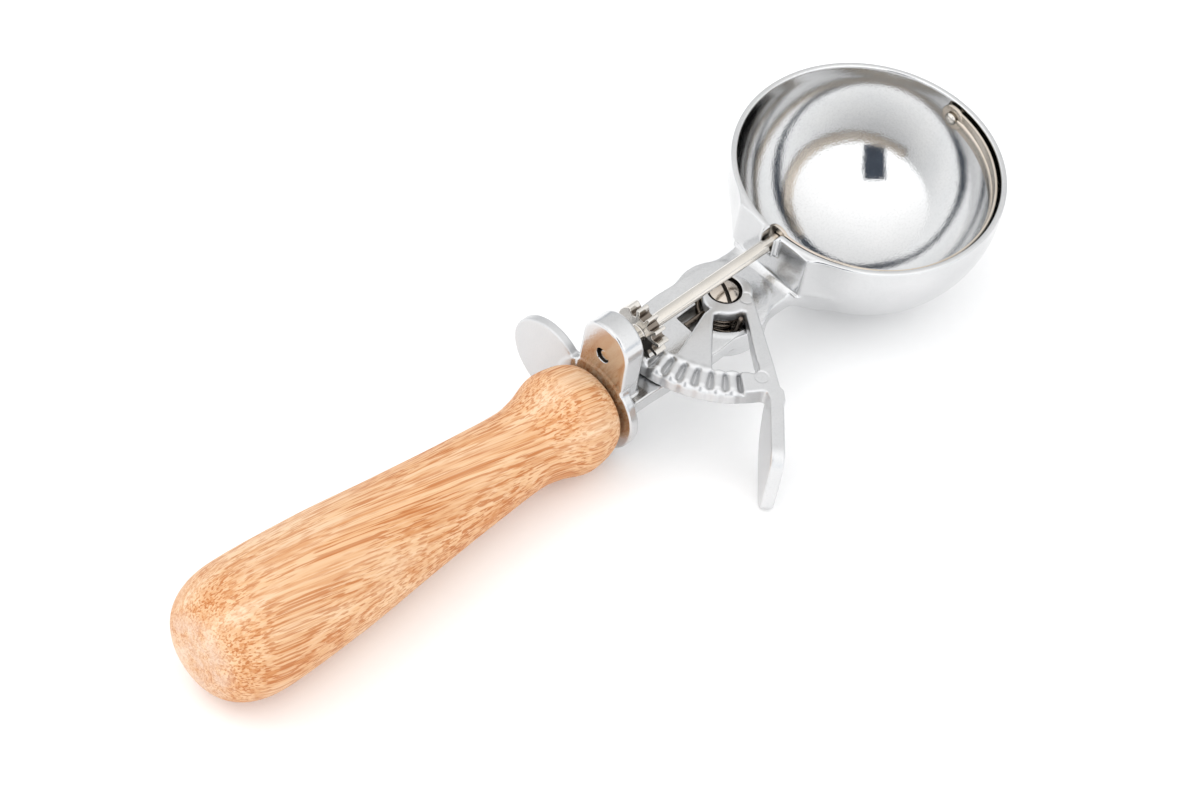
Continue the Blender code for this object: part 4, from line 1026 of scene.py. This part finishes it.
def spring_path():
    """The wire's centre line: fixed leg in the slot, coil going down, moving leg
    that rises behind the lever's arm."""
    mean, high, pitch = 4.95, -14.2, 1.35
    start, end = 176.0, 208.0
    turns = 2.0 + (end - start) / 360.0
    a0 = math.radians(start)
    coil = [Vector((PIVOT_X + mean * math.cos(a0 + 2 * math.pi * turns * i / 170),
                    mean * math.sin(a0 + 2 * math.pi * turns * i / 170),
                    high - pitch * turns * i / 170)) for i in range(171)]
    first = [Vector((x, 0.40, high)) for x in (-52.9, -51.2, -49.5, -48.3)]
    a1 = a0 + 2 * math.pi * turns
    tangent, last = Vector((-math.sin(a1), math.cos(a1), 0)), coil[-1]
    leg = [last + tangent * along + Vector((0, 0, up))
           for along, up in ((1.5, 0.0), (3.2, 0.25), (4.6, 1.3), (5.3, 3.0), (5.45, 6.0))]

    def smooth(points):
        out = []
        pts = [points[0] * 2 - points[1]] + points + [points[-1] * 2 - points[-2]]
        for a, b, c, d in zip(pts, pts[1:], pts[2:], pts[3:]):
            for i in range(8):
                t = i / 8
                out.append(0.5 * (2 * b + (c - a) * t + (2 * a - 5 * b + 4 * c - d) * t * t
                                  + (3 * b - a - 3 * c + d) * t ** 3))
        return out + [points[-1]]
    return smooth(first + [coil[0]])[:-1] + coil[:-1] + smooth([coil[-1]] + leg)


def tube(points, radius, sides=20, cap=4):
    """A round wire along the points, with rounded ends."""
    pts = [Vector(p) for p in points]
    verts, faces = [], []
    tangent = (pts[1] - pts[0]).normalized()
    normal = tangent.orthogonal().normalized()
    rows = []
    for i, p in enumerate(pts):
        t = (pts[min(i + 1, len(pts) - 1)] - pts[max(i - 1, 0)]).normalized()
        normal = (normal - t * normal.dot(t)).normalized()
        side = t.cross(normal)
        scales = [(0.0, 1.0)]
        if i == 0:
            scales = [(-radius * 0.6 * math.cos(math.pi / 2 * k / cap),
                       math.sin(math.pi / 2 * k / cap)) for k in range(1, cap)] + scales
        if i == len(pts) - 1:
            scales = scales + [(radius * 0.6 * math.sin(math.pi / 2 * k / cap),
                                math.cos(math.pi / 2 * k / cap)) for k in range(1, cap)]
        for shift, s in scales:
            rows.append(len(verts))
            for j in range(sides):
                a = 2 * math.pi * j / sides
                verts.append(p + t * shift + (normal * math.cos(a) + side * math.sin(a)) * radius * s)
    for a, b in zip(rows, rows[1:]):
        for j in range(sides):
            k = (j + 1) % sides
            faces.append((a + j, a + k, b + k, b + j))
    faces.append(tuple(range(rows[0], rows[0] + sides))[::-1])
    faces.append(tuple(range(rows[-1], rows[-1] + sides)))
    return verts, faces


def make_spring():
    verts, faces = tube(spring_path(), 0.6)
    obj = mesh_object("torsion_spring", verts, faces, SPRING)
    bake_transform(obj)
    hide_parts("return_spring")
    return obj


# ----------------------------------------------------------------------- handle
HANDLE_KNOTS = ((0.0, 8.2), (0.012, 10.0), (0.04, 11.2), (0.078, 11.7), (0.142, 9.85),
                (0.19, 9.05), (0.31, 9.8), (0.50, 11.55), (0.70, 13.6), (0.87, 14.4))


def handle_radius(t):
    t1, r1 = HANDLE_KNOTS[-1]
    if t >= t1:
        u = min(1.0, (t - t1) / (1 - t1))
        return BUTT_FLAT_R + (r1 - BUTT_FLAT_R) * (1 - u ** 2.3) ** (1 / 2.3)

    def secant(k):
        (ta, ra), (tb, rb) = HANDLE_KNOTS[k], HANDLE_KNOTS[k + 1]
        return (rb - ra) / (tb - ta)

    def slope(k):
        if k == 0:
            return 1.4 * secant(0)
        if k == len(HANDLE_KNOTS) - 1:
            return 0.0
        a, b = secant(k - 1), secant(k)
        return 0.0 if a * b <= 0 else 2 * a * b / (a + b)
    i = 0
    while t > HANDLE_KNOTS[i + 1][0]:
        i += 1
    (t0, r0), (t2, r2) = HANDLE_KNOTS[i], HANDLE_KNOTS[i + 1]
    h = t2 - t0
    u = (t - t0) / h
    return ((2 * u ** 3 - 3 * u ** 2 + 1) * r0 + (u ** 3 - 2 * u ** 2 + u) * slope(i) * h
            + (-2 * u ** 3 + 3 * u ** 2) * r2 + (u ** 3 - u ** 2) * slope(i + 1) * h)


def make_handle():
    ts = [0.0, 0.0015, 0.004, 0.008, 0.012, 0.017, 0.022, 0.03]
    ts += [0.04 + 0.83 * i / 110 for i in range(111)]
    ts += [0.87 + 0.13 * math.sin(math.pi / 2 * i / 40) for i in range(1, 41)]
    front = 0.9
    profile = [(-front - 2.0, 3.3), (-front - 0.3, 3.3), (-front, 3.6)]
    seen = HANDLE_LEN - 0.03
    profile += [(-front - t * seen, handle_radius(t) - 0.03) for t in ts]
    profile.append((-front - seen, 0.0))
    profile = [(-front - 52.0, 0.0), (-front - 52.0, 3.3)] + profile
    centre = (FLANGE_X, 0, HANDLE_AXIS_Z)
    bm = turned(profile, centre, "X", 144, HANDLE_TILT)
    piece = bmesh_object("turned_wooden_handle", bm, WOOD, 40)
    return place(piece, "frame", "turned_wood", "wooden_handle")


# ------------------------------------------------------------------------ studio
def camera():
    data = bpy.data.cameras.new("photo_camera")
    data.sensor_fit = "HORIZONTAL"
    data.sensor_width = 36.0
    data.lens = 36.0 * 3719.4 / 1200.0
    data.clip_start, data.clip_end = 0.01, 50.0
    obj = bpy.data.objects.new("photo_camera", data)
    SCENE.collection.objects.link(obj)
    right = Vector((0.7183, -0.68546, 0.11916))
    up = Vector((0.49751, 0.62578, 0.60074))
    back = Vector((-0.48634, -0.37222, 0.79052))
    eye = -(right * 58.05 + up * 50.33 + back * -800.0)
    axes = Matrix((right, up, back)).transposed().to_4x4()
    obj.matrix_world = ROOT @ Matrix.Translation(eye * MM) @ axes
    SCENE.camera = obj
    return obj


def floor():
    """Plain pale paper under the object."""
    m = Nodes("studio_floor")
    at = m.coords()
    fibres = m.noise(at, 420.0, 4.0, 0.6)
    tone = m.ramp(fibres, [(0.3, (0.925, 0.925, 0.925)), (0.7, (0.935, 0.935, 0.935))])
    m.link(tone, m.bsdf.inputs["Base Color"])
    m.link(tone, m.bsdf.inputs["Emission Color"])
    m.bsdf.inputs["Emission Strength"].default_value = 0.055
    m.link(m.range(fibres, 0.3, 0.7, 0.55, 0.65), m.bsdf.inputs["Roughness"])
    m.bsdf.inputs["Specular IOR Level"].default_value = 0.1
    bm = bmesh.new()
    size = 6.0
    corners = [bm.verts.new((x * size, y * size, 0))
               for x, y in ((-1, -1), (1, -1), (1, 1), (-1, 1))]
    bm.faces.new(corners)
    mesh = bpy.data.meshes.new("studio_floor")
    bm.to_mesh(mesh)
    bm.free()
    obj = bpy.data.objects.new("studio_floor", mesh)
    SCENE.collection.objects.link(obj)
    mesh.materials.append(m.mat)
    return obj


def dark_card(eye):
    """The dark things round the camera, which the bowl mirrors: one card that
    only reflections see."""
    m = Nodes("dark_card")
    fine = m.noise(m.coords(), 9.0, 3.0, 0.6)
    tone = m.ramp(fine, [(0.35, (0.026, 0.036, 0.054)), (0.65, (0.042, 0.056, 0.080))])
    m.link(tone, m.bsdf.inputs["Base Color"])
    m.bsdf.inputs["Roughness"].default_value = 0.8
    bowl = ROOT @ Vector((0, 0, SHAFT_Z * MM))
    towards = (eye - bowl).normalized()
    right = (ROOT.to_3x3() @ Vector((0.7183, -0.68546, 0.11916)))
    right = (right - towards * right.dot(towards)).normalized()
    up = towards.cross(right)
    far = 0.62
    corners = []
    for side, lift in ((-16.6, -28.0), (3.6, -28.0), (3.6, 3.4), (-16.6, 3.4)):
        corners.append(bowl + (towards + right * math.tan(math.radians(side))
                               + up * math.tan(math.radians(lift))) * far)
    mesh = bpy.data.meshes.new("dark_card")
    mesh.from_pydata([tuple(c) for c in corners], [], [(0, 1, 2, 3)])
    obj = bpy.data.objects.new("dark_card", mesh)
    SCENE.collection.objects.link(obj)
    mesh.materials.append(m.mat)
    obj.visible_camera = False
    obj.visible_diffuse = False
    obj.visible_shadow = False
    return obj


def area(name, place_at, aim, size, power, color=(1, 1, 1)):
    data = bpy.data.lights.new(name, "AREA")
    data.shape = "RECTANGLE"
    data.size, data.size_y = size
    data.energy = power
    data.color = color
    obj = bpy.data.objects.new(name, data)
    SCENE.collection.objects.link(obj)
    obj.location = place_at
    direction = Vector(aim) - Vector(place_at)
    obj.rotation_euler = direction.to_track_quat("-Z", "Y").to_euler()
    obj.visible_glossy = False
    return obj


def world():
    """White tent: a dark band above the horizon, and duller behind the object."""
    w = bpy.data.worlds.new("studio")
    SCENE.world = w
    w.use_nodes = True
    tree = w.node_tree
    bg = tree.nodes["Background"]
    tc = tree.nodes.new("ShaderNodeTexCoord")
    sep = tree.nodes.new("ShaderNodeSeparateXYZ")
    tree.links.new(tc.outputs["Generated"], sep.inputs[0])
    ramp = tree.nodes.new("ShaderNodeValToRGB")
    el = ramp.color_ramp.elements
    stops = [(0.0, (0.95, 0.95, 0.95)), (0.49, (0.90, 0.90, 0.91)), (0.53, (0.52, 0.57, 0.63)),
             (0.56, (0.66, 0.69, 0.73)), (0.61, (0.93, 0.935, 0.94)), (1.0, (1.0, 1.0, 1.0))]
    while len(el) < len(stops):
        el.new(0.5)
    for e, (pos, col) in zip(el, stops):
        e.position = pos
        e.color = (*col, 1.0)
    half = tree.nodes.new("ShaderNodeMath")
    half.operation = "MULTIPLY_ADD"
    half.inputs[1].default_value = 0.5
    half.inputs[2].default_value = 0.5
    tree.links.new(sep.outputs["Z"], half.inputs[0])
    tree.links.new(half.outputs[0], ramp.inputs["Fac"])
    side = tree.nodes.new("ShaderNodeVectorMath")
    side.operation = "DOT_PRODUCT"
    side.inputs[1].default_value = (-0.794, -0.608, 0.0)
    tree.links.new(tc.outputs["Generated"], side.inputs[0])
    gain = tree.nodes.new("ShaderNodeMapRange")
    for key, v in (("From Min", -0.70), ("From Max", 0.70), ("To Min", 0.82), ("To Max", 1.46)):
        gain.inputs[key].default_value = v
    tree.links.new(side.outputs["Value"], gain.inputs["Value"])
    scale = tree.nodes.new("ShaderNodeVectorMath")
    scale.operation = "SCALE"
    tree.links.new(ramp.outputs["Color"], scale.inputs[0])
    tree.links.new(gain.outputs["Result"], scale.inputs["Scale"])
    tree.links.new(scale.outputs["Vector"], bg.inputs["Color"])
    bg.inputs["Strength"].default_value = 1.13


NICKEL_TURNED = metal("nickel_turned_shaft", (0.70, 0.66, 0.60), (0.75, 0.71, 0.66), 0.20,
                      0.25, 0.008, 1.6, 0.01, streak=(6000.0, 60.0, 60.0))
SCREW = metal("nickel_screw", (0.46, 0.40, 0.34), (0.60, 0.54, 0.48), 0.13, 0.25, 0.01)
FRAME_STEP, LEVER_STEP = 0.34, 0.20

EYE = camera()
floor()
dark_card(EYE.matrix_world.translation.copy())
world()
area("key_softbox", (-0.35, 0.55, 0.85), (0.02, 0, 0.02), (0.9, 0.6), 2.4)
area("fill_softbox", (0.7, -0.5, 0.7), (0.03, 0, 0.02), (0.7, 0.7), 0.8)
SCENE.view_settings.view_transform = "Standard"
SCENE.view_settings.look = "None"

make_frame()
make_lever()
make_shaft()
make_pinion()
make_scraper()
make_rivet()
make_screw()
make_washer("wear_washer", "hub_wear_washer", -13.05, -12.55, 2.4, 4.6, (PIVOT_X, 0, 0), "Z",
            BRASS, "washer_brass")
make_washer("thrust_washer", "pinion_thrust_washer", -73.75, -72.95, SHAFT_PIN_R + 0.15, 3.4,
            (0, 0, SHAFT_Z), "X", NICKEL, "nickel_plate")
make_spring()
make_handle()
NODES["handle_stud"].data.materials.clear()
NODES["handle_stud"].data.materials.append(STUD)
